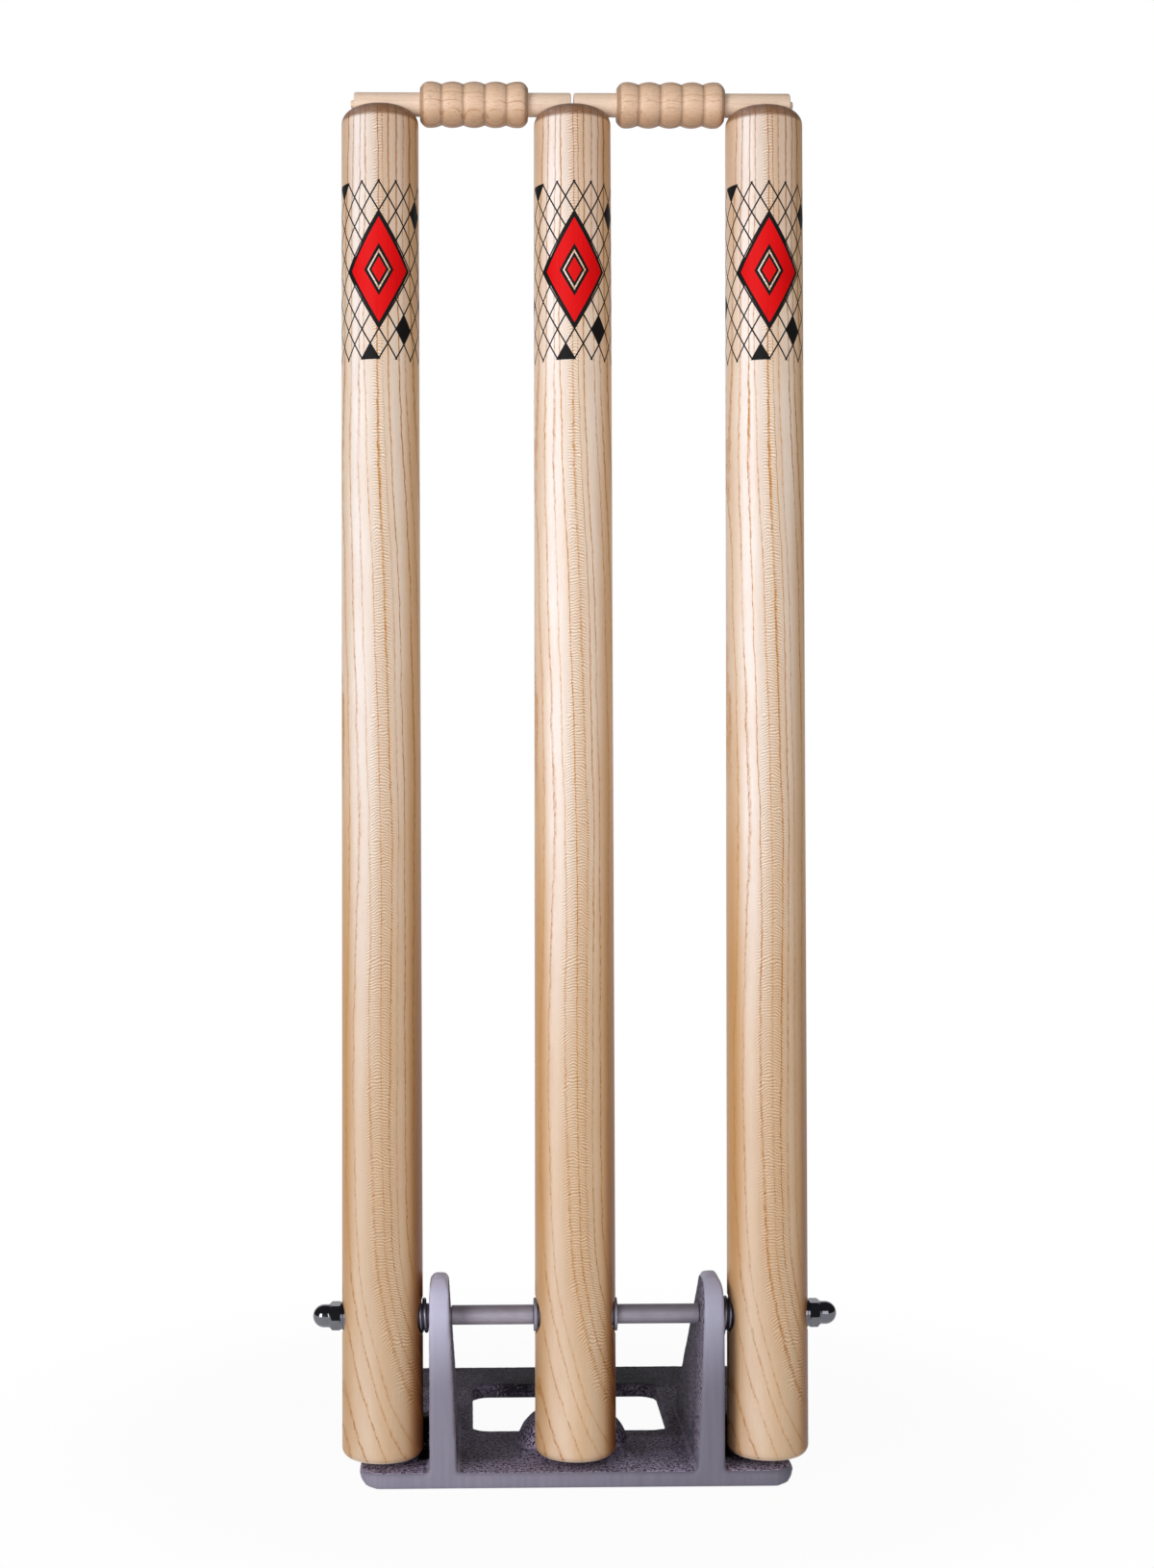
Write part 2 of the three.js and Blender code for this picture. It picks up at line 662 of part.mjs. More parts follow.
function acornNut() {
  const cornerRadius = nutAcrossFlats / 2 / Math.cos(Math.PI / 6);
  const hexEnd = nutX + nutHexHeight;
  const prism = new THREE.CylinderGeometry(cornerRadius, cornerRadius, nutHexHeight, 6).rotateZ(-Math.PI / 2);
  prism.rotateX(THREE.MathUtils.degToRad(nutTurnDegrees));
  prism.translate((nutX + hexEnd) / 2, pivotY, pivotHeight);
  const chamfer = [
    [0, nutX],
    [cornerRadius, nutX],
    [cornerRadius, hexEnd - nutChamferHeight],
    [nutChamferDiameter / 2, hexEnd],
    [0, hexEnd],
  ];
  const hex = solidFrom(prism).intersect(turnedAlongX(chamfer, hardwareSides, pivotY, pivotHeight));
  const domeRadius = nutDomeDiameter / 2;
  const domeCentre = hexEnd + nutDomeHeight - domeRadius;
  const dome = [[0, (nutX + hexEnd) / 2], [domeRadius, (nutX + hexEnd) / 2]];
  for (let i = 0; i < cornerSteps; i += 1) {
    const angle = (i / cornerSteps) * (Math.PI / 2);
    dome.push([domeRadius * Math.cos(angle), domeCentre + domeRadius * Math.sin(angle)]);
  }
  dome.push([0, domeCentre + domeRadius]);
  const nut = hex.add(turnedAlongX(dome, hardwareSides, pivotY, pivotHeight));
  const boreEnd = nutX + rodNutDepth + nutRodGap;
  const bore = barAlongX(rodHoleRadius, nutX - cutOverrun, boreEnd, hardwareSides, pivotY, pivotHeight);
  return nut.subtract(bore);
}

// Assembly
function named(name, solid, finish) {
  const mesh = new THREE.Mesh(geometryFrom(solid), new THREE.MeshStandardMaterial(finishes[finish]));
  mesh.name = name;
  return mesh;
}

const group = new THREE.Group();
const base = new THREE.Group();
base.add(named("base_casting", baseCasting(), "castMetal"));
base.add(named("pivot_rod", pivotRod(), "brightSteel"));
base.add(named("middle_pivot_sleeve", middleSleeve(), "brightSteel"));
group.add(base);

const rightHardware = [
  ["spacer_tube", spacerTube(), "brightSteel"],
  ["inner_washer", middleWasher(), "brightSteel"],
  ["pivot_sleeve", outerSleeve(), "brightSteel"],
  ["flat_washer", flatWasher(), "chrome"],
  ["lock_washer", lockWasher(), "chrome"],
  ["acorn_nut", acornNut(), "chrome"],
];

[["left", -1, leftSpring], ["right", 1, rightSpring]].forEach(([sideName, side, spring], i) => {
  const placed = (solid) => (side < 0 ? mirrored(solid) : solid);
  for (const [piece, solid, finish] of rightHardware) {
    base.add(named(`${sideName}_${piece}`, placed(solid), finish));
  }
  const springName = `${sideName}_return_spring`;
  base.add(named(springName, springSolid(springName, spring), "darkSpringSteel"));
  const middleName = `middle_${sideName}_return_spring`;
  base.add(named(middleName, springSolid(middleName, middleSprings[i]), "darkSpringSteel"));

  const stump = new THREE.Group();
  stump.position.x = side * stumpSpacing;
  stump.add(named(`${sideName}_stump`, outerStump(side, spring), "paleAsh"));
  group.add(stump);
  group.add(named(`${sideName}_bail`, placed(bail()), "bailWood"));
});
group.add(named("middle_stump", middleStump(), "paleAsh"));

export default group;
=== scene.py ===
import math
from functools import partialmethod

import bmesh
import bpy
from mathutils import Matrix, Vector, noise


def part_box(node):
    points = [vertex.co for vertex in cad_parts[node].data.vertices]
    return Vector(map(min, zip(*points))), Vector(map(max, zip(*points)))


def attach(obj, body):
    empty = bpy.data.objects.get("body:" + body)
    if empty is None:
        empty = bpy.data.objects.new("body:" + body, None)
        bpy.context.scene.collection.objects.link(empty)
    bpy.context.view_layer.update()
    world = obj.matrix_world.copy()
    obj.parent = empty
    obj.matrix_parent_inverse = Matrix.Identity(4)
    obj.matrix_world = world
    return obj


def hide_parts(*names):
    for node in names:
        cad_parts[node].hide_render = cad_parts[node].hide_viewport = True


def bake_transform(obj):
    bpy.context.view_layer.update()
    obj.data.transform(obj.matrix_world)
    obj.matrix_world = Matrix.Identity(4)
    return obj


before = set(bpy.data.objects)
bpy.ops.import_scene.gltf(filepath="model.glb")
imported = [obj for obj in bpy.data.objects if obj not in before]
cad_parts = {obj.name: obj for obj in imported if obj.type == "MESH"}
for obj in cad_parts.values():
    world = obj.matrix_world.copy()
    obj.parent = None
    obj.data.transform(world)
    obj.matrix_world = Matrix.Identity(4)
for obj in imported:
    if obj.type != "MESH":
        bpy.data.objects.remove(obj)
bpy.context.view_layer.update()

mm = 0.001
mergeDistance = mm * 1e-3
alongX, alongY, alongZ = Vector((1, 0, 0)), Vector((0, 1, 0)), Vector((0, 0, 1))

# What the pieces share: the plate's front and the rod's line, read from the frame, and the stumps' places
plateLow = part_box("base_casting")[0]
rodLow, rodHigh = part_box("pivot_rod")
rodLine = (rodLow + rodHigh) / 2
rodLine.x = 0
stumpPlaces = {"left": -0.1, "middle": 0.0, "right": 0.1}  # metres along the rod
stumpTop, bailRise = 711.2, 1.3  # millimetres; the bails' line runs a little above the tops
bailLine = (0, rodLine.y, (stumpTop + bailRise) * mm)


# Shader maths: a Value is one socket, and an expression on Values adds Math nodes
class Value:
    def __init__(self, nodes, socket):
        self.nodes, self.socket = nodes, socket

    def maths(self, operation, *others):
        return self.nodes.node("Math", {"operation": operation}, [self, *others])

    def __rsub__(self, other):
        return self.nodes.node("Math", {"operation": "SUBTRACT"}, [other, self])

    __add__ = partialmethod(maths, "ADD")
    __sub__ = partialmethod(maths, "SUBTRACT")
    __mul__ = partialmethod(maths, "MULTIPLY")
    __truediv__ = partialmethod(maths, "DIVIDE")
    __pow__ = partialmethod(maths, "POWER")
    __abs__ = partialmethod(maths, "ABSOLUTE")
    __radd__ = __add__
    __rmul__ = __mul__

    above = partialmethod(maths, "GREATER_THAN")
    below = partialmethod(maths, "LESS_THAN")
    least = partialmethod(maths, "MINIMUM")
    most = partialmethod(maths, "MAXIMUM")
    part = partialmethod(maths, "FRACT")
    whole = partialmethod(maths, "FLOOR")

    # From start at low to end at high and level beyond; low may be the larger one
    def ramp(self, low, high, start=0, end=1, smooth=True):
        settings = {"interpolation_type": "SMOOTHSTEP" if smooth else "LINEAR"}
        return self.nodes.node("MapRange", settings, {0: self, 1: low, 2: high, 3: start, 4: end})


class Nodes:
    def __init__(self, tree):
        self.tree = tree

    # Any node: its type, its settings or a colour ramp's stops, then the values or links of its sockets
    def node(self, kind, settings=None, inputs=(), output=0):
        node = self.tree.nodes.new("ShaderNode" + kind)
        for setting, value in (settings or {}).items():
            if setting == "stops":
                setStops(node.color_ramp.elements, value)
            else:
                setattr(node, setting, value)
        for key, value in (inputs.items() if isinstance(inputs, dict) else enumerate(inputs)):
            if isinstance(value, Value):
                self.tree.links.new(value.socket, node.inputs[key])
            else:
                node.inputs[key].default_value = value
        return Value(self, node.outputs[output])

    # Object coordinates in millimetres, counted from a centre given in metres
    def place(self, centre=(0, 0, 0)):
        spot = self.node("TexCoord", output="Object")
        shift = [-c / mm for c in centre]
        return self.node("Mapping", inputs={"Vector": spot, "Location": shift, "Scale": (1 / mm,) * 3})

    def axes(self, vector):
        return [self.node("SeparateXYZ", inputs=[vector], output=axis) for axis in "XYZ"]

    def facing(self):
        return self.axes(self.node("TexCoord", output="Normal"))

    def noise(self, vector, scale, detail=2, roughness=0.5):
        values = {"Vector": vector, "Scale": scale, "Detail": detail, "Roughness": roughness}
        return self.node("TexNoise", inputs=values)

    # Noise with its own scale along each axis, in cells per millimetre; the seed shifts it along z
    def stretched(self, axes, scales, detail=2, roughness=0.5, seed=0):
        x, y, z = (axis * scale for axis, scale in zip(axes, scales))
        vector = self.node("CombineXYZ", inputs=[x, y, z + seed if seed else z])
        return self.noise(vector, 1, detail, roughness)

    def tint(self, factor, first, second, blend="MIX"):
        settings = {"data_type": "RGBA", "blend_type": blend}
        return self.node("Mix", settings, {"Factor": factor, 6: first, 7: second}, output=2)

    def brighten(self, colour, factor):
        return self.node("VectorMath", {"operation": "SCALE"}, {0: colour, "Scale": factor})


def setStops(elements, stops):
    while len(elements) < len(stops):
        elements.new(1)
    for element, (place, colour) in zip(elements, stops):
        element.position, element.color = place, colour


class Finish(Nodes):
    def __init__(self, name, **constants):
        self.material = bpy.data.materials.new(name)
        self.material.use_nodes = True
        super().__init__(self.material.node_tree)
        self.shader = self.tree.nodes["Principled BSDF"]
        for socket, value in constants.items():
            self.shader.inputs[socket.replace("_", " ")].default_value = value

    def feed(self, **values):
        for socket, value in values.items():
            self.tree.links.new(value.socket, self.shader.inputs[socket.replace("_", " ")])

    def bump(self, height, strength, depth):
        inputs = {"Height": height, "Strength": strength, "Distance": depth}
        self.feed(Normal=self.node("Bump", inputs=inputs))


def paint(red, green, blue):  # screen colour 0 to 255 as a linear colour
    return tuple(c / 12.92 if c < 0.04045 else ((c + 0.055) / 1.055) ** 2.4
                 for c in (red / 255, green / 255, blue / 255)) + (1,)


# Modelling helpers
def newObject(name, bm, material=None, sharpAngle=38):
    for face in bm.faces:
        face.smooth = True
    for edge in bm.edges:
        edge.smooth = len(edge.link_faces) != 2 or edge.calc_face_angle() < math.radians(sharpAngle)
    mesh = bpy.data.meshes.new(name)
    bm.to_mesh(mesh)
    bm.free()
    made = bpy.data.objects.new(name, mesh)
    bpy.context.scene.collection.objects.link(made)
    if material:
        mesh.materials.append(material)
    return made


# Spins an outline of (radius, place along the axis) points, in millimetres
def spinOutline(outline, axis, centre, steps, closed=False):
    bm = bmesh.new()
    corners = [bm.verts.new(centre + axis * (place * mm) - alongY * (radius * mm))
               for radius, place in outline]
    pairs = list(zip(corners, corners[1:])) + ([(corners[-1], corners[0])] if closed else [])
    edges = [bm.edges.new(pair) for pair in pairs]
    bmesh.ops.spin(bm, geom=corners + edges, cent=centre, axis=axis, dvec=(0, 0, 0), angle=math.tau,
                   steps=steps, use_merge=True)
    bmesh.ops.remove_doubles(bm, verts=bm.verts, dist=mergeDistance)
    bmesh.ops.recalc_face_normals(bm, faces=bm.faces)
    return bm


def arcPoints(radius, centreRadius, centrePlace, start, end, steps):  # in an outline, angles in degrees
    turns = [math.radians(start + (end - start) * i / steps) for i in range(steps + 1)]
    return [(centreRadius + radius * math.cos(t), centrePlace + radius * math.sin(t)) for t in turns]


def rodCutter(radius, start, end, centre=rodLine, sides=64):
    outline = [(0, start), (radius, start), (radius, end), (0, end)]
    return newObject("cutter", spinOutline(outline, alongX, centre, sides))


def applyModifiers(made):
    graph = bpy.context.evaluated_depsgraph_get()
    old = made.data
    made.data = bpy.data.meshes.new_from_object(made.evaluated_get(graph))
    made.modifiers.clear()
    bpy.data.meshes.remove(old)
    return made


def combine(made, others, operation="DIFFERENCE"):
    for other in others:
        step = made.modifiers.new("combine", "BOOLEAN")
        step.object, step.operation, step.solver = other, operation, "EXACT"
    applyModifiers(made)
    for other in others:
        bpy.data.meshes.remove(other.data)
    return made


def soften(made, width, segments=2, angle=40):
    step = made.modifiers.new("soften", "BEVEL")
    step.width, step.segments, step.limit_method = width, segments, "ANGLE"
    step.angle_limit, step.harden_normals = math.radians(angle), True
    return applyModifiers(made)


def recoat(made, material):
    made.data.materials.clear()
    made.data.materials.append(material)


def mirrorX(made):
    made.data.transform(Matrix.Diagonal((-1, 1, 1, 1)))
    made.data.flip_normals()
    return made


def settle(made, body, slot, *nodes):
    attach(made, body)
    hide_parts(*nodes)
    return made


# Ash, with places in millimetres and the scales of its noises in cells per millimetre along x, y and z
ashLook = {
    "woodStops": [(0.0, paint(218, 186, 152)), (0.36, paint(226, 197, 167)), (0.56, paint(240, 218, 198)),
                  (0.78, paint(246, 228, 212)), (1.0, paint(226, 200, 179))],
    "lineStops": [(0.0, paint(186, 124, 54)), (0.36, paint(196, 134, 62)), (0.56, paint(208, 146, 74)),
                  (0.78, paint(206, 146, 78)), (1.0, paint(178, 122, 68))],
    "stopsHeight": 711, "tones": (0.93, 1.0, 0.985),
    # The pale colour is the painted highlight; the left edge, centre, right edge and foot edge colours are
    # painted shade
    "pale": paint(255, 249, 250), "leftEdge": paint(234, 204, 158), "centre": paint(238, 231, 222),
    "rightEdge": paint(255, 226, 184), "footEdge": paint(152, 112, 80),
    "ringWidth": 4.5, "crowdedTop": 1.35, "crowdedFoot": 0.88, "ringTilt": 0.02,
    "driftSpan": (620, 330), "drift": 7.0,
    "sweepStart": 170, "sweepRun": 150, "sweepShift": 42, "sweepSpread": 0.9,
    "wander": 5, "wanderScale": (0.03, 0.03, 0.009), "wiggleScale": (0.1, 0.1, 0.16),
    "unevenness": 2.2, "unevenScale": (0.13, 0.02, 0.002),
    "lineEdge": (0, 0.05), "lineFade": (0.24, 0.09), "faintest": 0.45, "fadingScale": (0.3, 0.3, 0.018),
    "lateShade": 0.16, "earlyShade": 0.1, "mottle": 0.36, "mottleScale": (0.1, 0.1, 0.03),
    "pore": paint(146, 92, 42), "loosePores": 0.04, "dashScale": (1.2, 1.2, 0.36),
    "fibre": 0.16, "fibreScale": (2.4, 2.4, 0.05),
    "ripple": 0.62, "rippleLength": 1.5, "rippleArch": 0.05, "rippleUneven": (0.4, 0.4, 0.5),
    "stripSpan": (560, 250), "stripDrift": -7.5, "patchScale": (0.12, 0.05, 0.02),
    "warp": 7, "warpScale": (0.12, 0.12, 0.06), "fineWarpScale": (0.5, 0.5, 0.3),
    "endGrain": paint(124, 80, 49), "crownFrom": (700.9, 703), "crownScale": (0.5, 0.5, 0.5),
    # The foot-rim colour is a painted highlight
    "footRimHighlight": paint(255, 238, 214), "rimBelow": (13.6, 12.2),
    "endPale": paint(222, 184, 138), "endLine": paint(168, 118, 72), "pith": (24, -34), "arcWidth": 3.4,
    "arcUneven": 6, "endPoreScale": (1.6, 1.6, 0),
}


# Lines run up the stump, drift to the right in the middle, then spread and sweep to the right at the foot
def grain(f, axes, look):
    x, y, z = axes
    swept = ((look["sweepStart"] - z) / look["sweepRun"]).most(0) ** 3
    straight = (x - swept * look["sweepShift"]) / (swept * look["sweepSpread"] + 1)
    wander = (f.stretched(axes, look["wanderScale"]) - 0.5) * look["wander"]
    wiggle = f.stretched(axes, look["wiggleScale"], 1) - 0.5
    straight = straight - z.ramp(*look["driftSpan"], 0, look["drift"]) + wander + wiggle
    uneven = f.stretched((straight, y, z), look["unevenScale"], 1) * look["unevenness"]
    crowded = z.ramp(150, 430, look["crowdedFoot"], 1) * z.ramp(430, 700, 1, look["crowdedTop"])
    count = straight * crowded / look["ringWidth"] + y * look["ringTilt"] + uneven
    return straight, count


# Each line has a crisp edge and fades into a broad shade; lines differ in strength, also along their length
def growthLines(f, axes, count, seed, look):
    share, ring = count.part(), count.whole()
    draw = f.node("TexWhiteNoise", {"noise_dimensions": "1D"}, {"W": ring + seed})
    strength = draw.ramp(0, 1, look["faintest"], 1)
    fading = f.stretched(axes, look["fadingScale"], 3, seed=seed).ramp(0.3, 0.55, look["faintest"], 1)
    line = share.ramp(*look["lineFade"]) * share.ramp(*look["lineEdge"]) * strength * fading
    shade = share.ramp(0.45, 1) * look["lateShade"] * strength + share.ramp(0.55, 0.1) * look["earlyShade"]
    return line, shade


# The wood between the lines: a painted highlight left of the middle, and painted shade towards both edges, at
# the foot and a little over the middle
def plainWood(f, axes, look):
    x, y, z = axes
    wood = f.node("ValToRGB", {"stops": look["woodStops"]}, [z / look["stopsHeight"]])
    # Painted highlight: a pale streak left of the middle, stronger higher up
    paintedHighlight = x.ramp(-18, -10) * x.ramp(3, -7) * z.ramp(160, 380, 0.15, 0.7)
    wood = f.tint(paintedHighlight, wood, look["pale"])
    # Painted shade: golden towards the left edge, warmer and darker towards the right edge and more so at the
    # foot, slightly dimmer in the middle
    leftward = z.ramp(60, 150, 0.5, 1) * z.ramp(250, 430, 1, 0.28) + z.ramp(600, 680, 0, 0.2)
    tints = {
        "leftEdge": x.ramp(-12, -19) * leftward,
        "centre": abs(x + 1).ramp(12, 4) * z.ramp(30, 120),
        "rightEdge": x.ramp(9, 19),
        "footEdge": x.ramp(13, 20) * z.ramp(420, 60),
    }
    for colour, where in tints.items():
        wood = f.tint(where, wood, look[colour], "MULTIPLY")
    return wood


# Fine arched bars across the grain, in strips between some of the lines, on the front only
def ripple(f, axes, straight, look):
    x, y, z = axes
    warp = f.stretched(axes, look["warpScale"]) * look["warp"] + f.stretched(axes, look["fineWarpScale"], 1)
    uneven = f.stretched(axes, look["rippleUneven"]).ramp(0.25, 0.55)
    aside = straight - z.ramp(620, 250, 0, look["stripDrift"])
    strip = abs(aside).ramp(z.ramp(*look["stripSpan"], 4, 9), z.ramp(*look["stripSpan"], 2, 5))
    arched = z + warp + aside * aside * look["rippleArch"]
    bars = (arched * (math.tau / look["rippleLength"])).maths("SINE")
    patch = f.stretched((straight, y, z), look["patchScale"], 1).ramp(0.25, 0.42)
    return bars * uneven * strip * patch * y.below(0) * (look["ripple"] / 2)


# The sawn end under the foot: arcs of the growth rings with fine pores
def endFace(f, axes, mottle, look):
    across, along = (axis + shift for axis, shift in zip(axes, look["pith"]))
    reach = (across * across + along * along) ** 0.5 + mottle * look["arcUneven"]
    arcs = (reach / look["arcWidth"]).part().ramp(0.5, 0)
    pores = f.stretched(axes, look["endPoreScale"], 3).ramp(0.5, 0.62)
    face = f.tint(arcs * 0.5 + mottle * 0.2, look["endPale"], look["endLine"])
    return f.tint(pores * 0.35, face, look["pore"])


def ashFinish(name, centreX, seed):
    look = ashLook
    f = Finish(name, Specular_IOR_Level=0.15, Coat_Roughness=0.4)
    axes = f.axes(f.place((centreX, rodLine.y, 0)))
    z = axes[2]
    straight, count = grain(f, axes, look)
    line, shade = growthLines(f, axes, count, seed, look)
    dashes = f.stretched(axes, look["dashScale"], 3, 0.65).ramp(0.46, 0.6)
    fibre = f.stretched(axes, look["fibreScale"], 3)
    mottle = f.stretched(axes, look["mottleScale"], seed=seed)
    darkness = line * (dashes * 0.8 + 0.8) * z.ramp(120, 420, 0.6, 1.1) * z.ramp(560, 690, 1, 1.45)
    darkness = darkness + shade + (mottle - 0.5) * look["mottle"]
    lineColour = f.node("ValToRGB", {"stops": look["lineStops"]}, [z / look["stopsHeight"]])
    wood = f.tint(darkness.most(0).least(1), plainWood(f, axes, look), lineColour)
    pores = dashes * (line * z.ramp(100, 400, 0.5, 0.34) + look["loosePores"])
    wood = f.tint(pores, wood, look["pore"])
    light = ripple(f, axes, straight, look) + (fibre - 0.5) * look["fibre"] + 1
    wood = f.brighten(wood, light * look["tones"][seed])
    crown = z.ramp(*look["crownFrom"]) * (f.stretched(axes, look["crownScale"]) * 0.4 + 0.6)
    wood = f.tint(crown, wood, look["endGrain"])
    # Painted highlight: a thin pale rim along the foot's lower edge
    wood = f.tint(z.ramp(*look["rimBelow"]) * 0.8, wood, look["footRimHighlight"])
    under = f.facing()[2].ramp(-0.9, -0.98)
    wood = f.tint(under, wood, endFace(f, axes, mottle, look))
    roughness = line * 0.12 + fibre * 0.1 + 0.36
    wood, roughness, coat = addLabel(f, wood, roughness, axes)
    f.feed(Base_Color=wood, Roughness=roughness, Coat_Weight=coat)
    relief = fibre * 0.4 - dashes * (line + 0.1) * 0.8 - line * 0.4
    f.bump(relief, strength=0.3, depth=0.0004)
    return f.material


# A plain lattice with a few filled cells, and an open lozenge on the front
labelLook = {
    "low": 576, "high": 668, "middle": 622, "radius": 20.2, "varnish": 0.3, "inkRoughness": 0.16,
    "cells": 14, "slope": 0.6, "line": 0.8, "lineBlur": 0.2, "pickSteps": (3, 5), "pick": 12,
    "halfWidth": 15.5, "halfHeight": 27, "outline": 1.5, "opening": 0.5, "core": 0.24, "coreOutline": 0.8,
    "red": paint(222, 0, 4), "black": paint(14, 12, 13),
}


def lattice(f, along, up, look):
    cell = math.tau * look["radius"] / look["cells"]
    ways = [(along + up * look["slope"]) / cell, (along - up * look["slope"]) / cell]
    half = look["line"] / 2 * math.hypot(1, look["slope"]) / cell
    blur = look["lineBlur"]
    lines = [abs((way + 0.5).part() - 0.5).ramp(half * (1 + blur), half * (1 - blur), smooth=False)
             for way in ways]
    picks = [way.whole() * step for way, step in zip(ways, look["pickSteps"])]
    picked = (picks[0] + picks[1]).maths("FLOORED_MODULO", look["cells"])
    return lines[0].most(lines[1]).most(abs(picked - look["pick"]).below(0.5))


def addLabel(f, wood, roughness, axes):
    look = labelLook
    x, y, z = axes
    along = f.node("Math", {"operation": "ARCTAN2"}, [x, -1 * y]) * look["radius"]
    up = z - look["middle"]
    band = z.above(look["low"]) * z.below(look["high"])
    across, high, opening, core = look["halfWidth"], look["halfHeight"], look["opening"], look["core"]
    reach = abs(along) / across + abs(up) / high  # 1 at the lozenge's edge
    rim = look["outline"] * math.hypot(1 / across, 1 / high)
    shape = reach.below(1 + rim)
    inked = (reach.below(1) * reach.above(opening)).most(reach.below(core))
    outlines = (shape * reach.above(1)).most(reach.below(opening) * reach.above(opening - rim))
    outlines = outlines.most(reach.below(core + rim * look["coreOutline"]) * reach.above(core))
    black = (lattice(f, along, up, look) * (1 - shape)).most(outlines) * (1 - inked) * band
    red = inked * band
    wood = f.tint(black, wood, look["black"])
    wood = f.tint(red, wood, look["red"])
    printed = red.most(black)
    return wood, roughness + printed * look["inkRoughness"], (1 - printed) * look["varnish"]


bailLook = {
    "dark": paint(212, 172, 140), "light": paint(236, 205, 177), "line": paint(182, 126, 78),
    # The valley colour here and the top-and-underside colour on the next line are painted shade
    "fleck": paint(140, 100, 70), "valley": paint(120, 84, 56), "spigot": paint(250, 232, 214),
    "topAndUnderShade": paint(228, 218, 208), "ringWidth": 3.1, "ringUneven": 7, "ringScale": (0.012, 0.06, 0.06),
    "lineScale": (0.04, 0.3, 0.3), "fibreScale": (0.07, 1.6, 1.6), "fleckScale": (0.4, 2.4, 2.4),
}


def bailFinish(name):
    look = bailLook
    f = Finish(name, Coat_Weight=0.15, Coat_Roughness=0.4)
    axes = f.axes(f.place(bailLine))
    x, y, z = axes
    uneven = f.stretched(axes, look["ringScale"]) * look["ringUneven"]
    rings = (z * 0.8 + y * 0.5 + uneven) / look["ringWidth"]
    line = rings.part().ramp(0.24, 0) * f.stretched(axes, look["lineScale"]).ramp(0.4, 0.62)
    fibre = f.stretched(axes, look["fibreScale"], 3)
    flecks = f.stretched(axes, look["fleckScale"]).ramp(0.56, 0.68)
    wood = f.tint(fibre, look["dark"], look["light"])
    radius = (y * y + z * z) ** 0.5
    tints = {
        "line": line * 0.75,
        "fleck": flecks * 0.35,
        # Painted shade in the valleys between the beads and at the barrel's ends
        "valley": radius.ramp(10.9, 10.3) * radius.above(8) * 0.45,
        "spigot": radius.ramp(7.5, 6.5) * 0.4,
    }
    for colour, where in tints.items():
        wood = f.tint(where, wood, look[colour])
    # Painted shade: darker on the bail's top and underside
    wood = f.tint(z.ramp(-3, -11) + z.ramp(8, 11.4), wood, look["topAndUnderShade"], "MULTIPLY")
    f.feed(Base_Color=wood, Roughness=fibre * 0.15 + 0.42)
    f.bump(fibre * 0.5 - flecks * 0.4, strength=0.25, depth=0.0003)
    return f.material


# Cast metal, with places in millimetres and the scales of its noises in cells per millimetre
castLook = {
    # The corner colour is painted shade; on the next line the head colour is a painted highlight
    "dark": paint(27, 22, 33), "light": paint(198, 184, 216), "corner": paint(11, 8, 11),
    "spark": paint(226, 220, 232), "headHighlight": paint(200, 198, 222),
    "smoothDark": paint(128, 124, 140), "smoothLight": paint(150, 146, 164),
    "coarse": 0.62, "fine": 1.5, "blotches": 0.04, "sparks": 0.9, "streakScale": (0.4, 0.4, 0.02),
    "edgeTurn": (0.985, 0.93), "earInside": 57, "earOutside": 80, "earFront": -90, "earBack": (-52, -62),
    "earFoot": (8.6, 10.6), "lugTop": (30, 36), "head": (45, 100),
    "plateFront": (-92, -97), "plateHeight": (18, 13),
    "boss": (34, 29), "cornerInside": 74, "cornerOutside": (83, 81), "cornerBack": -35, "cornerFront": -80,
    # The next three numbers set painted shade towards the right and its lifts on the plate top and the rear
    # wall
    "shadeToTheRight": 0.72, "plateTop": 0.45, "rearWall": 0.4, "grainDepth": 0.0011,
}


# The ears' and the plate's front faces are smooth; all else keeps the grain of the sand
def smoothFaces(axes, facing, look):
    x, y, z = axes
    earBand = abs(facing[0]).ramp(*look["edgeTurn"]) * abs(x).above(look["earInside"])
    earBand = earBand * abs(x).below(look["earOutside"]) * y.ramp(*look["earBack"])
    aboveLug = z.ramp(*look["lugTop"]).most(y.below(look["earFront"]))
    earBand = earBand * z.ramp(*look["earFoot"]) * aboveLug
    plateBand = facing[2].ramp(*look["edgeTurn"]) * y.ramp(*look["plateFront"])
    return earBand.most(plateBand * z.ramp(*look["plateHeight"]))


# Sandy faces: painted shade at the back and in the corners by the outer feet, and a painted highlight round
# the plate's upper edge
def sandyFaces(f, axes, facing, lumps, blotch, look):
    x, y, z = axes
    boss = ((x * x + (y - rodLine.y / mm) ** 2) ** 0.5).ramp(*look["boss"])
    # Painted shade: darker behind the plate's front and more so at the rear, less over the boss
    paintedBackShade = (y.ramp(-100, -72) * 0.5 + y.ramp(45, 66) * 0.3) * (1 - boss * 0.9)
    # Painted shade: near black in the corners between the ears and the outer feet
    corner = y.above(look["cornerFront"]) * y.below(look["cornerBack"]) * z.ramp(30, 24)
    corner = corner * abs(x).above(look["cornerInside"]) * abs(x).ramp(*look["cornerOutside"])
    # Painted highlight along the plate's upper edges
    rim = facing[2].ramp(0.3, 0.5) * facing[2].ramp(0.97, 0.9) * z.ramp(9.5, 8.5)
    rough = f.tint(lumps.ramp(0.43, 0.55), look["dark"], look["light"])
    rough = f.tint(rim * 0.5, rough, look["light"])
    rough = f.tint((blotch.ramp(0.4, 0.7) * 0.2 + paintedBackShade).least(1), rough, look["dark"])
    return f.tint(corner, rough, look["corner"])


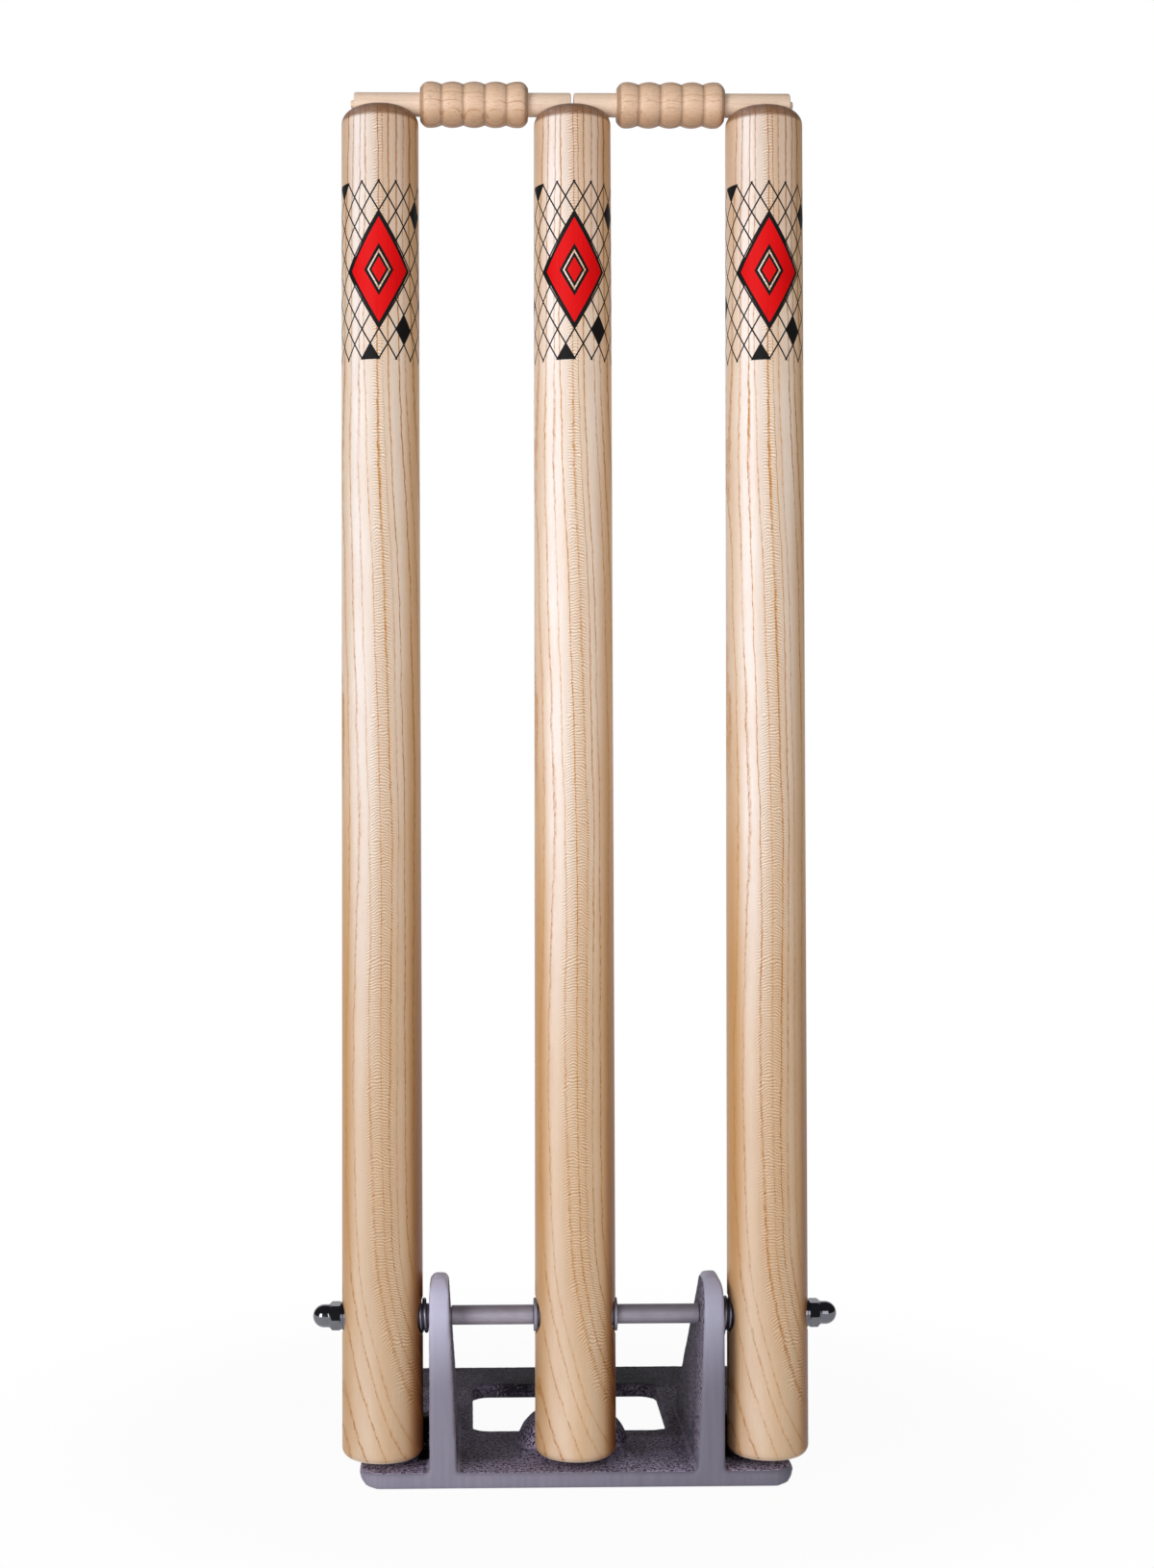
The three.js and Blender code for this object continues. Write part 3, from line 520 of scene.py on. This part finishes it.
def castFinish(name):
    look = castLook
    f = Finish(name, Metallic=0.0, Specular_IOR_Level=0.12)
    place = f.place()
    axes, facing = f.axes(place), f.facing()
    x, y, z = axes
    smooth = smoothFaces(axes, facing, look)
    lumps = f.noise(place, look["coarse"], 3, 0.6) * 0.6 + f.noise(place, look["fine"]) * 0.4
    blotch = f.noise(place, look["blotches"], 3)
    sparks = f.noise(place, look["sparks"], 1).ramp(0.63, 0.7) * (0.2 + y.ramp(-82, -100) * z.ramp(5, 7))
    rough = f.tint(sparks.least(1), sandyFaces(f, axes, facing, lumps, blotch, look), look["spark"])
    streak = f.stretched(axes, look["streakScale"])
    ground = f.tint(streak, look["smoothDark"], look["smoothLight"])
    # Painted highlight: the ears' smooth heads lighter towards the top
    ground = f.tint(z.ramp(*look["head"]), ground, look["headHighlight"])
    # Painted light and shade: darker towards the right, lifted on the rough plate top at the right front and
    # on the window's rear wall
    plateTop = x.ramp(8, 50) * y.below(-40) * facing[2].above(0.9) * (1 - smooth) * look["plateTop"]
    rearWall = facing[1].below(-0.6) * y.above(50) * look["rearWall"]
    paintedLightAndShade = x.ramp(-90, 90, 1, look["shadeToTheRight"]) * (plateTop + rearWall + 1)
    metal = f.brighten(f.tint(smooth, rough, ground), paintedLightAndShade)
    f.feed(Base_Color=metal, Roughness=0.7 - smooth * 0.28 - sparks * 0.2)
    f.bump(lumps * (1 - smooth * 0.95), strength=1.0, depth=look["grainDepth"])
    return f.material


# Turned and drawn steels; the tones, painted light and shade, are for the left and the right end of the rod
steelLooks = {
    "brightSteel": {"colour": paint(174, 167, 181), "metallic": 0.7, "roughness": 0.52, "marks": 0.12,
                    "tones": (1.1, 0.85)},
    "chromePlate": {"colour": paint(130, 130, 138), "metallic": 1.0, "roughness": 0.06, "marks": 0.02,
                    "tones": (0.93, 0.78)},
    "springSteel": {"colour": paint(132, 130, 142), "metallic": 1.0, "roughness": 0.28, "marks": 0.12,
                    "tones": (1.2, 1.15)},
}
steelMarks = {"lathe": (5, 0.06, 0.06), "drawn": (0.05, 2.2, 2.2), "smudges": 0.12}


def steelFinish(name):
    look = steelLooks[name]
    f = Finish(name, Metallic=look["metallic"])
    place = f.place()
    axes = f.axes(place)
    lathe = f.stretched(axes, steelMarks["lathe"], 3)
    drawn = f.stretched(axes, steelMarks["drawn"], 3)
    smudge = f.noise(place, steelMarks["smudges"], 3)
    stain = (smudge.ramp(0.35, 0.7) * 0.2 + drawn * 0.45).least(1)
    shade = f.tint(stain, look["colour"], tuple(0.5 * c for c in look["colour"][:3]) + (1,))
    # Painted light and shade: scaled from the left end's tone to the right end's
    shade = f.brighten(shade, axes[0].ramp(-60, 60, *look["tones"]))
    f.feed(Base_Color=shade, Roughness=(lathe + drawn) * look["marks"] + smudge * 0.06 + look["roughness"])
    f.bump(lathe, strength=0.12, depth=0.0001)
    return f.material


ashFinishes = {side: ashFinish(f"{side}Ash", place, seed)
               for seed, (side, place) in enumerate(stumpPlaces.items())}
bailWood = bailFinish("bailWood")
castMetal = castFinish("castMetal")
brightSteel, chrome, springSteel = (steelFinish(name) for name in steelLooks)
print("finishes made")


# Stumps: turned, grooved for the bails, bored for the rod and pocketed for the springs
stumpSize = {
    "topRadius": 20, "crown": 10.5, "fullness": 2.4, "crownSteps": 20, "footEdge": 5, "footSteps": 8,
    "sides": 112,
    "rings": [25, 40, 55, 65, 75, 85, 95, 105, 120, 160, 240, 340, 440, 540, 620, 680],
    "bore": 6.2, "groove": 6.4, "edge": 0.35, "taperAtRod": 0.1, "cutterReach": 5,
    "pocket": 10.2, "outerPocket": 10.6, "middlePocket": 12.3, "spotFace": 9.0, "spotDepth": 2.7,
}


def stumpOutline(footRadius, footHeight):
    size = stumpSize
    edge, topRadius = size["footEdge"], size["topRadius"]
    taperStart, crownStart = footHeight + edge, stumpTop - size["crown"]
    outline = [(0, footHeight)]
    outline += arcPoints(edge, footRadius - edge, taperStart, -90, 0, size["footSteps"])
    for place in size["rings"]:
        share = (place - taperStart) / (crownStart - taperStart)
        outline.append((footRadius + (topRadius - footRadius) * share, place))
    for i in range(size["crownSteps"]):
        angle = math.radians(90 * i / size["crownSteps"])
        power = 2 / size["fullness"]
        outline.append((topRadius * math.cos(angle) ** power,
                        crownStart + size["crown"] * math.sin(angle) ** power))
    outline.append((0, stumpTop))
    return outline


def makeStump(side):
    size = stumpSize
    low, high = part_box(f"{side}_stump")
    place = stumpPlaces[side] / mm
    footRadius, footHeight = (high.x - low.x) / 2 / mm, low.z / mm
    centre = Vector((stumpPlaces[side], rodLine.y, 0))
    outline = stumpOutline(footRadius, footHeight)
    stump = newObject(f"{side}StumpTimber", spinOutline(outline, alongZ, centre, size["sides"]))
    reach = footRadius + size["cutterReach"]
    cutters = [
        rodCutter(size["bore"], place - reach, place + reach),
        rodCutter(size["groove"], place - reach, place + reach, Vector(bailLine)),
    ]
    radiusAtRod = footRadius - (footRadius - size["topRadius"]) * size["taperAtRod"]
    if side == "middle":
        hollows = [(size["pocket"], size["middlePocket"], -1), (size["pocket"], size["middlePocket"], 1)]
    else:
        hand = 1 if side == "right" else -1
        hollows = [(size["pocket"], size["outerPocket"], -hand), (size["spotFace"], size["spotDepth"], hand)]
    for radius, depth, way in hollows:
        start, end = sorted((place + way * (radiusAtRod - depth), place + way * reach))
        cutters.append(rodCutter(radius, start, end))
    combine(stump, cutters)
    recoat(stump, ashFinishes[side])
    soften(stump, size["edge"] * mm)
    return settle(stump, f"{side}_stump", "ash_wood", f"{side}_stump")


for side in stumpPlaces:
    makeStump(side)
print("stumps turned")


# Bails: five beads between a short inner spigot and a long outer one, with a pip at the outer end
bailSize = {
    "barrel": 56, "radius": 11.6, "beads": 5, "beadSteps": 14, "valley": 1.3, "endDrop": 3.2,
    "spigot": 6.1, "short": 22.3, "long": 34.3, "ringsBeside": (2, 0.2), "endEdge": 0.9, "edgeSteps": 3,
    "pip": 2.2, "pipLength": 1.8, "gap": 1.6, "sides": 72, "sharpAngle": 25,
}


# The barrel's beads meet in shallow valleys, and its two ends fall away further
def beadOutline(size):
    bead, steps = size["barrel"] / size["beads"], size["beadSteps"]
    outline = []
    for i in range(size["beads"]):
        for j in range(steps + 1):
            across = 2 * j / steps - 1
            atEnd = (i == 0 and across < 0) or (i == size["beads"] - 1 and across > 0)
            drop = size["endDrop"] * abs(across) ** 3 if atEnd else size["valley"] * across ** 2
            outline.append((size["radius"] - drop, size["short"] + bead * (i + j / steps)))
    return outline


def makeBail(side):
    size = bailSize
    spigot, edge, steps = size["spigot"], size["endEdge"], size["edgeSteps"]
    end = size["short"] + size["barrel"] + size["long"]
    far, near = size["ringsBeside"]  # two rings on each spigot keep the barrel's end crisp
    outline = [(0, 0), (spigot - edge, 0)]
    outline += arcPoints(edge, spigot - edge, edge, -90, 0, steps)[1:]
    outline += [(spigot, size["short"] - far), (spigot, size["short"] - near)]
    outline += beadOutline(size)
    outline += [(spigot, end - size["long"] + near), (spigot, end - size["long"] + far)]
    outline += arcPoints(edge, spigot - edge, end - edge, 0, 90, steps)
    pip, peak = size["pip"], size["pipLength"]
    outline += [(pip, end), (pip * 0.9, end + peak * 0.8), (pip * 0.6, end + peak), (0, end + peak)]
    outline = [(radius, place + size["gap"] / 2) for radius, place in outline]
    turned = spinOutline(outline, alongX, Vector(bailLine), size["sides"])
    bail = newObject(f"{side}TurnedBail", turned, bailWood, size["sharpAngle"])
    if side == "left":
        mirrorX(bail)
    return settle(bail, f"{side}_bail", "bail_wood", f"{side}_bail")


for side in ("left", "right"):
    makeBail(side)
print("bails turned")


# Base: the casting's own solid, remeshed and softened so that its edges and corners look cast
castSize = {"grain": 1.15, "rounds": 6, "roundness": 0.5, "uneven": 0.14, "lumps": 260, "evenBelow": 3}


def makeBase():
    size = castSize
    bm = bmesh.new()
    bm.from_mesh(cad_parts["base_casting"].data)
    bmesh.ops.remove_doubles(bm, verts=bm.verts, dist=mergeDistance)
    base = newObject("castBase", bm, castMetal)
    remesh = base.modifiers.new("sand", "REMESH")
    remesh.mode, remesh.voxel_size, remesh.use_smooth_shade = "VOXEL", size["grain"] * mm, True
    smooth = base.modifiers.new("soft", "SMOOTH")
    smooth.factor, smooth.iterations = size["roundness"], size["rounds"]
    applyModifiers(base)
    outward = [corner.normal.copy() for corner in base.data.vertices]
    for corner, normal in zip(base.data.vertices, outward):  # sand marks, fading out near the ground
        rise = min(1, corner.co.z / (size["evenBelow"] * mm)) * size["uneven"] * mm
        corner.co += normal * (noise.noise(corner.co * size["lumps"]) - 1) * rise
    return settle(base, "base", "cast_metal", "base_casting")


makeBase()
print("base cast")


# Hardware on the rod
hardwareSize = {
    "sides": 64, "bore": 4.2, "tubeChamfer": 0.45, "washerEdge": 0.25, "split": 1.3,
    "rodSides": 48, "rodChamfer": 0.8,
}


def boxInMillimetres(node):
    low, high = (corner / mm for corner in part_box(node))
    return low.x, high.x, (high.z - low.z) / 2


def chamferedOutline(inner, outer, start, end, chamfer):
    return [(inner, start), (outer - chamfer, start), (outer, start + chamfer),
            (outer, end - chamfer), (outer - chamfer, end), (inner, end)]


def makeRing(name, node, material, slot, chamfer):
    start, end, outer = boxInMillimetres(node)
    outline = chamferedOutline(hardwareSize["bore"], outer, start, end, chamfer)
    spun = spinOutline(outline, alongX, rodLine, hardwareSize["sides"], closed=True)
    return settle(newObject(name, spun, material), "base", slot, node)


def makeRod():
    start, end, radius = boxInMillimetres("pivot_rod")
    outline = chamferedOutline(0, radius, start, end, hardwareSize["rodChamfer"])
    rod = newObject("pivotRod", spinOutline(outline, alongX, rodLine, hardwareSize["rodSides"]), brightSteel)
    return settle(rod, "base", "bright_steel", "pivot_rod")


def makeLockWasher(side):
    size = hardwareSize
    start, end, outer = boxInMillimetres("right_lock_washer")
    bm = bmesh.new()
    section = chamferedOutline(size["bore"], outer, start, end, size["washerEdge"])
    corners = [bm.verts.new((x * mm, rodLine.y, rodLine.z + r * mm)) for r, x in section]
    face = bm.faces.new(corners)
    half = size["split"] / (size["bore"] + outer)  # half the split's angle, at the washer's middle radius
    bmesh.ops.rotate(bm, verts=corners, cent=rodLine, matrix=Matrix.Rotation(half, 3, "X"))
    bmesh.ops.spin(bm, geom=[face], cent=rodLine, axis=alongX, dvec=(0, 0, 0),
                   angle=math.tau - 2 * half, steps=size["sides"])
    bmesh.ops.recalc_face_normals(bm, faces=bm.faces)
    washer = newObject(f"{side}LockWasher", bm, chrome)
    if side == "left":
        mirrorX(washer)
    return settle(washer, "base", "chrome", f"{side}_lock_washer")


# Acorn nut: a hexagon whose corners are turned off at both ends, with a dome on a short neck
nutSize = {
    "flats": 13, "hex": 5.3, "turn": 6.4, "chamfer": 12.4, "chamferHeight": 1.2, "backEdge": (0.3, 0.5),
    "clear": 0.1, "dome": 5.9, "domeHeight": 8.9, "domeSteps": 20,
    "neck": [(0.5, -1), (0.5, -0.05), (0.12, 0.45), (0, 1.0)],  # past the dome's radius and the hexagon's end
    "bore": 4.2, "boreDepth": 10.3, "boreLead": 3, "edge": 0.28, "edgeAngle": 24, "sides": 96,
}


def makeNut(side):
    size = nutSize
    start = boxInMillimetres("right_acorn_nut")[0]
    hexEnd = start + size["hex"]
    corner = size["flats"] / 2 / math.cos(math.pi / 6)
    bm = bmesh.new()
    bmesh.ops.create_cone(bm, cap_ends=True, segments=6, radius1=corner * mm, radius2=corner * mm,
                          depth=size["hex"] * mm)
    toPlace = Matrix.Translation((((start + hexEnd) / 2) * mm, rodLine.y, rodLine.z))
    turn = Matrix.Rotation(math.radians(size["turn"]), 4, "X") @ Matrix.Rotation(math.pi / 2, 4, "Y")
    bmesh.ops.transform(bm, matrix=toPlace @ turn, verts=bm.verts)
    nut = newObject(f"{side}AcornNut", bm)
    clear, (inset, rise) = corner + size["clear"], size["backEdge"]
    cone = [(0, start), (corner - inset, start), (clear, start + rise),
            (clear, hexEnd - size["chamferHeight"]), (size["chamfer"] / 2, hexEnd), (0, hexEnd)]
    combine(nut, [newObject("cone", spinOutline(cone, alongX, rodLine, size["sides"]))], "INTERSECT")
    dome, peak = size["dome"], hexEnd + size["domeHeight"]
    outline = [(0, hexEnd + size["neck"][0][1])]
    outline += [(dome + wider, hexEnd + place) for wider, place in size["neck"]]
    outline += arcPoints(dome, 0, peak - dome, 0, 90, size["domeSteps"])
    outline[-1] = (0, peak)
    combine(nut, [newObject("dome", spinOutline(outline, alongX, rodLine, size["sides"]))], "UNION")
    combine(nut, [rodCutter(size["bore"], start - size["boreLead"], start + size["boreDepth"])])
    recoat(nut, chrome)
    soften(nut, size["edge"] * mm, angle=size["edgeAngle"])
    if side == "left":
        mirrorX(nut)
    return settle(nut, "base", "chrome", f"{side}_acorn_nut")


makeRod()
ringPieces = {
    "spacer_tube": ("SpacerTube", brightSteel, "bright_steel", hardwareSize["tubeChamfer"]),
    "inner_washer": ("InnerWasher", brightSteel, "bright_steel", hardwareSize["washerEdge"]),
    "pivot_sleeve": ("PivotSleeve", brightSteel, "bright_steel", hardwareSize["washerEdge"]),
    "flat_washer": ("FlatWasher", chrome, "chrome", hardwareSize["washerEdge"]),
}
for side in ("left", "right"):
    for node, (label, material, slot, chamfer) in ringPieces.items():
        makeRing(side + label, f"{side}_{node}", material, slot, chamfer)
    makeLockWasher(side)
    makeNut(side)
makeRing("middlePivotSleeve", "middle_pivot_sleeve", *ringPieces["pivot_sleeve"][1:])
print("hardware made")


# Return springs: a coil spun about the rod, with both legs bent square into their holes
springSize = {
    "wire": 2.0, "coil": 8.0, "pitch": 2.46, "outerTurns": 4.25, "middleTurns": 3.25,
    "seat": 0.4, "leg": 5.0, "washerLeg": 2.1, "shortestRun": 1.2, "sides": 14, "perTurn": 40, "bendSteps": 8,
}
# Each spring's stump, the mouth of its fixed leg's hole, its way along X, its turns, and that hole's (y, z)
# from the rod, or None where the leg stands in a washer, straight beyond the coil
springPlaces = {
    "left_return_spring": ("left_stump", -75.7, -1, "outerTurns", (22, -8.2)),
    "right_return_spring": ("right_stump", 75.7, 1, "outerTurns", (22, -27.5)),
    "middle_left_return_spring": ("middle_stump", -19.9, 1, "middleTurns", None),
    "middle_right_return_spring": ("middle_stump", 19.9, -1, "middleTurns", None),
}


def ringOf(geometry):
    return [item for item in geometry if isinstance(item, (bmesh.types.BMVert, bmesh.types.BMEdge))]


def pushRing(bm, ring, move):
    edges = [item for item in ring if isinstance(item, bmesh.types.BMEdge)]
    made = ringOf(bmesh.ops.extrude_edge_only(bm, edges=edges)["geom"])
    corners = [item for item in made if isinstance(item, bmesh.types.BMVert)]
    bmesh.ops.translate(bm, verts=corners, vec=move)
    chosen = set(corners)
    return corners + [e for e in made if isinstance(e, bmesh.types.BMEdge) and set(e.verts) <= chosen]


def bendRing(bm, ring, point, heading, target, radius):
    made = bmesh.ops.spin(bm, geom=ring, cent=point + target * radius, axis=heading.cross(target),
                          dvec=(0, 0, 0), angle=math.pi / 2, steps=springSize["bendSteps"])["geom_last"]
    return ringOf(made)


def capRing(bm, ring):
    bmesh.ops.edgeloop_fill(bm, edges=[item for item in ring if isinstance(item, bmesh.types.BMEdge)])


def outwardAt(angle):  # from the rod's line to the coil
    return Vector((0, math.cos(angle), math.sin(angle)))


def headingAt(angle):  # the way in which the wire is wound
    return Vector((0, math.sin(angle), -math.cos(angle)))


def makeSpring(node):
    size = springSize
    body, mouth, way, turnsKey, hole = springPlaces[node]
    turns, radius, coil = size[turnsKey], size["wire"] / 2 * mm, size["coil"] * mm
    bend = (size["wire"] / 2 + size["seat"]) * mm
    holeY, holeZ = (hole[0] * mm, hole[1] * mm) if hole else (math.hypot(coil, bend), 0)
    legLength = math.sqrt(max(math.hypot(holeY, holeZ) ** 2 - coil * coil, 0))
    start = math.atan2(holeZ, holeY) - math.atan2(legLength, coil)
    end = start - math.tau * turns
    length = way * size["pitch"] * turns * mm
    fixedX = mouth * mm + way * bend
    endX = fixedX + length
    bm = bmesh.new()
    first = Vector((fixedX, rodLine.y, rodLine.z)) + outwardAt(start) * coil
    turn = headingAt(start).to_track_quat("Z", "Y").to_matrix().to_4x4()
    made = bmesh.ops.create_circle(bm, segments=size["sides"], radius=radius,
                                   matrix=Matrix.Translation(first) @ turn)
    ring = made["verts"] + list({edge for vert in made["verts"] for edge in vert.link_edges})
    steps = round(turns * size["perTurn"])
    last = bmesh.ops.spin(bm, geom=ring, cent=rodLine, axis=-alongX, dvec=(length / steps, 0, 0),
                          angle=math.tau * turns, steps=steps)["geom_last"]
    tip = Vector((endX, rodLine.y, rodLine.z)) + outwardAt(end) * coil
    last = bendRing(bm, ringOf(last), tip, headingAt(end), alongX * way, bend)
    capRing(bm, pushRing(bm, last, alongX * way * size["leg"] * mm))
    away, corner = -headingAt(start), first
    if legLength > bend * size["shortestRun"]:
        corner = first + away * (legLength - bend)
        ring = pushRing(bm, ring, away * (legLength - bend))
    ring = bendRing(bm, ring, corner, away, -alongX * way, bend)
    legDepth = size["leg" if hole else "washerLeg"] * mm
    capRing(bm, pushRing(bm, ring, -alongX * way * legDepth))
    bmesh.ops.recalc_face_normals(bm, faces=bm.faces)
    words = node.split("_")
    spring = newObject(words[0] + "".join(word.capitalize() for word in words[1:]), bm, springSteel)
    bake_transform(spring)
    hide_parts(node)


for node in springPlaces:
    makeSpring(node)
print("springs wound")


# Stage: a white floor and sweep that keep a faint shadow, lamps and the camera, with places in metres
stageLook = {
    "floorSize": 14.0, "floorTone": 0.9, "floorSink": 0.0002,
    "shadowShare": 0.045, "clearFrom": 0.16, "clearTo": 0.4,
    "white": 1.0, "plain": 0.2, "room": 0.06, "sweepBehind": (0.6, 0.8), "sweepBelow": (0.03, 0.01),
}
lamps = {
    "keyLamp": {"place": (-1.75, -2.3, 0.75), "target": (0, -0.05, 0.36), "size": (1.2, 1.7), "power": 53},
    "fillLamp": {"place": (0.5, -2.6, 0.6), "target": (0, -0.05, 0.36), "size": (1.6, 1.2), "power": 16},
}


def seenShare(n):  # 1 for the rays that show the background: camera, glossy and transmission
    paths = [n.node("LightPath", output=f"Is {ray} Ray") for ray in ("Camera", "Glossy", "Transmission")]
    return paths[0].most(paths[1]).most(paths[2])


def makeFloor():
    look = stageLook
    f = Finish("floorWhite", Roughness=0.9, Base_Color=(look["floorTone"],) * 3 + (1,))
    x, y, z = f.axes(f.place())
    away = (x * x + y * y) ** 0.5 * mm
    clear = away.ramp(look["clearFrom"], look["clearTo"], 1 - look["shadowShare"], 1)
    glow = f.node("Emission", inputs={"Color": (1, 1, 1, 1), "Strength": look["white"]})
    lit = Value(f, f.shader.outputs[0])
    shown = f.node("MixShader", inputs={0: seenShare(f) * clear, 1: lit, 2: glow})
    f.tree.links.new(shown.socket, f.tree.nodes["Material Output"].inputs["Surface"])
    bm = bmesh.new()
    bmesh.ops.create_grid(bm, x_segments=2, y_segments=2, size=look["floorSize"])
    bmesh.ops.translate(bm, verts=bm.verts, vec=(0, 0, -look["floorSink"]))
    newObject("floor", bm, f.material)


def makeWorld():
    look = stageLook
    world = bpy.data.worlds.new("studio")
    bpy.context.scene.world = world
    world.use_nodes = True
    n = Nodes(world.node_tree)
    x, y, z = n.axes(n.node("TexCoord", output="Generated"))
    # Gloss shows white behind the wicket and at the floor, and a dim room elsewhere
    sweep = y.ramp(*look["sweepBehind"]).most(z.ramp(*look["sweepBelow"]))
    backdrop = sweep * (look["white"] - look["room"]) + look["room"]
    glossy = n.node("LightPath", output="Is Glossy Ray")
    direct = seenShare(n) * (1 - glossy) * (look["white"] - look["plain"])
    strength = direct + glossy * (backdrop - look["plain"]) + look["plain"]
    background = world.node_tree.nodes["Background"]
    background.inputs["Color"].default_value = (1, 1, 1, 1)
    world.node_tree.links.new(strength.socket, background.inputs["Strength"])


def makeLamp(name):
    look = lamps[name]
    lamp = bpy.data.lights.new(name, "AREA")
    lamp.shape, lamp.energy = "RECTANGLE", look["power"]
    lamp.size, lamp.size_y = look["size"]
    made = bpy.data.objects.new(name, lamp)
    bpy.context.scene.collection.objects.link(made)
    made.location = look["place"]
    aim = Vector(look["target"]) - Vector(look["place"])
    made.rotation_euler = aim.to_track_quat("-Z", "Y").to_euler()


cameraLook = {
    "aside": -0.055, "before": 1.1115, "height": 0.353, "turn": 1.09, "pitch": 0.3, "roll": -0.14,
    "lens": 50.07, "sensor": 36.0, "shift": 0.043,
}


def makeCamera():
    look = cameraLook
    camera = bpy.data.cameras.new("viewer")
    camera.lens, camera.sensor_width, camera.shift_x = look["lens"], look["sensor"], look["shift"]
    made = bpy.data.objects.new("viewer", camera)
    bpy.context.scene.collection.objects.link(made)
    made.location = (look["aside"], plateLow.y - look["before"], look["height"])
    turn, pitch, roll = (math.radians(look[key]) for key in ("turn", "pitch", "roll"))
    facing = Matrix.Rotation(-turn, 3, "Z") @ Matrix.Rotation(math.pi / 2 + pitch, 3, "X")
    made.rotation_euler = (facing @ Matrix.Rotation(roll, 3, "Z")).to_euler()
    bpy.context.scene.camera = made


makeFloor()
makeWorld()
for lampName in lamps:
    makeLamp(lampName)
makeCamera()
bpy.context.scene.view_settings.view_transform = "Standard"
print("stage set")
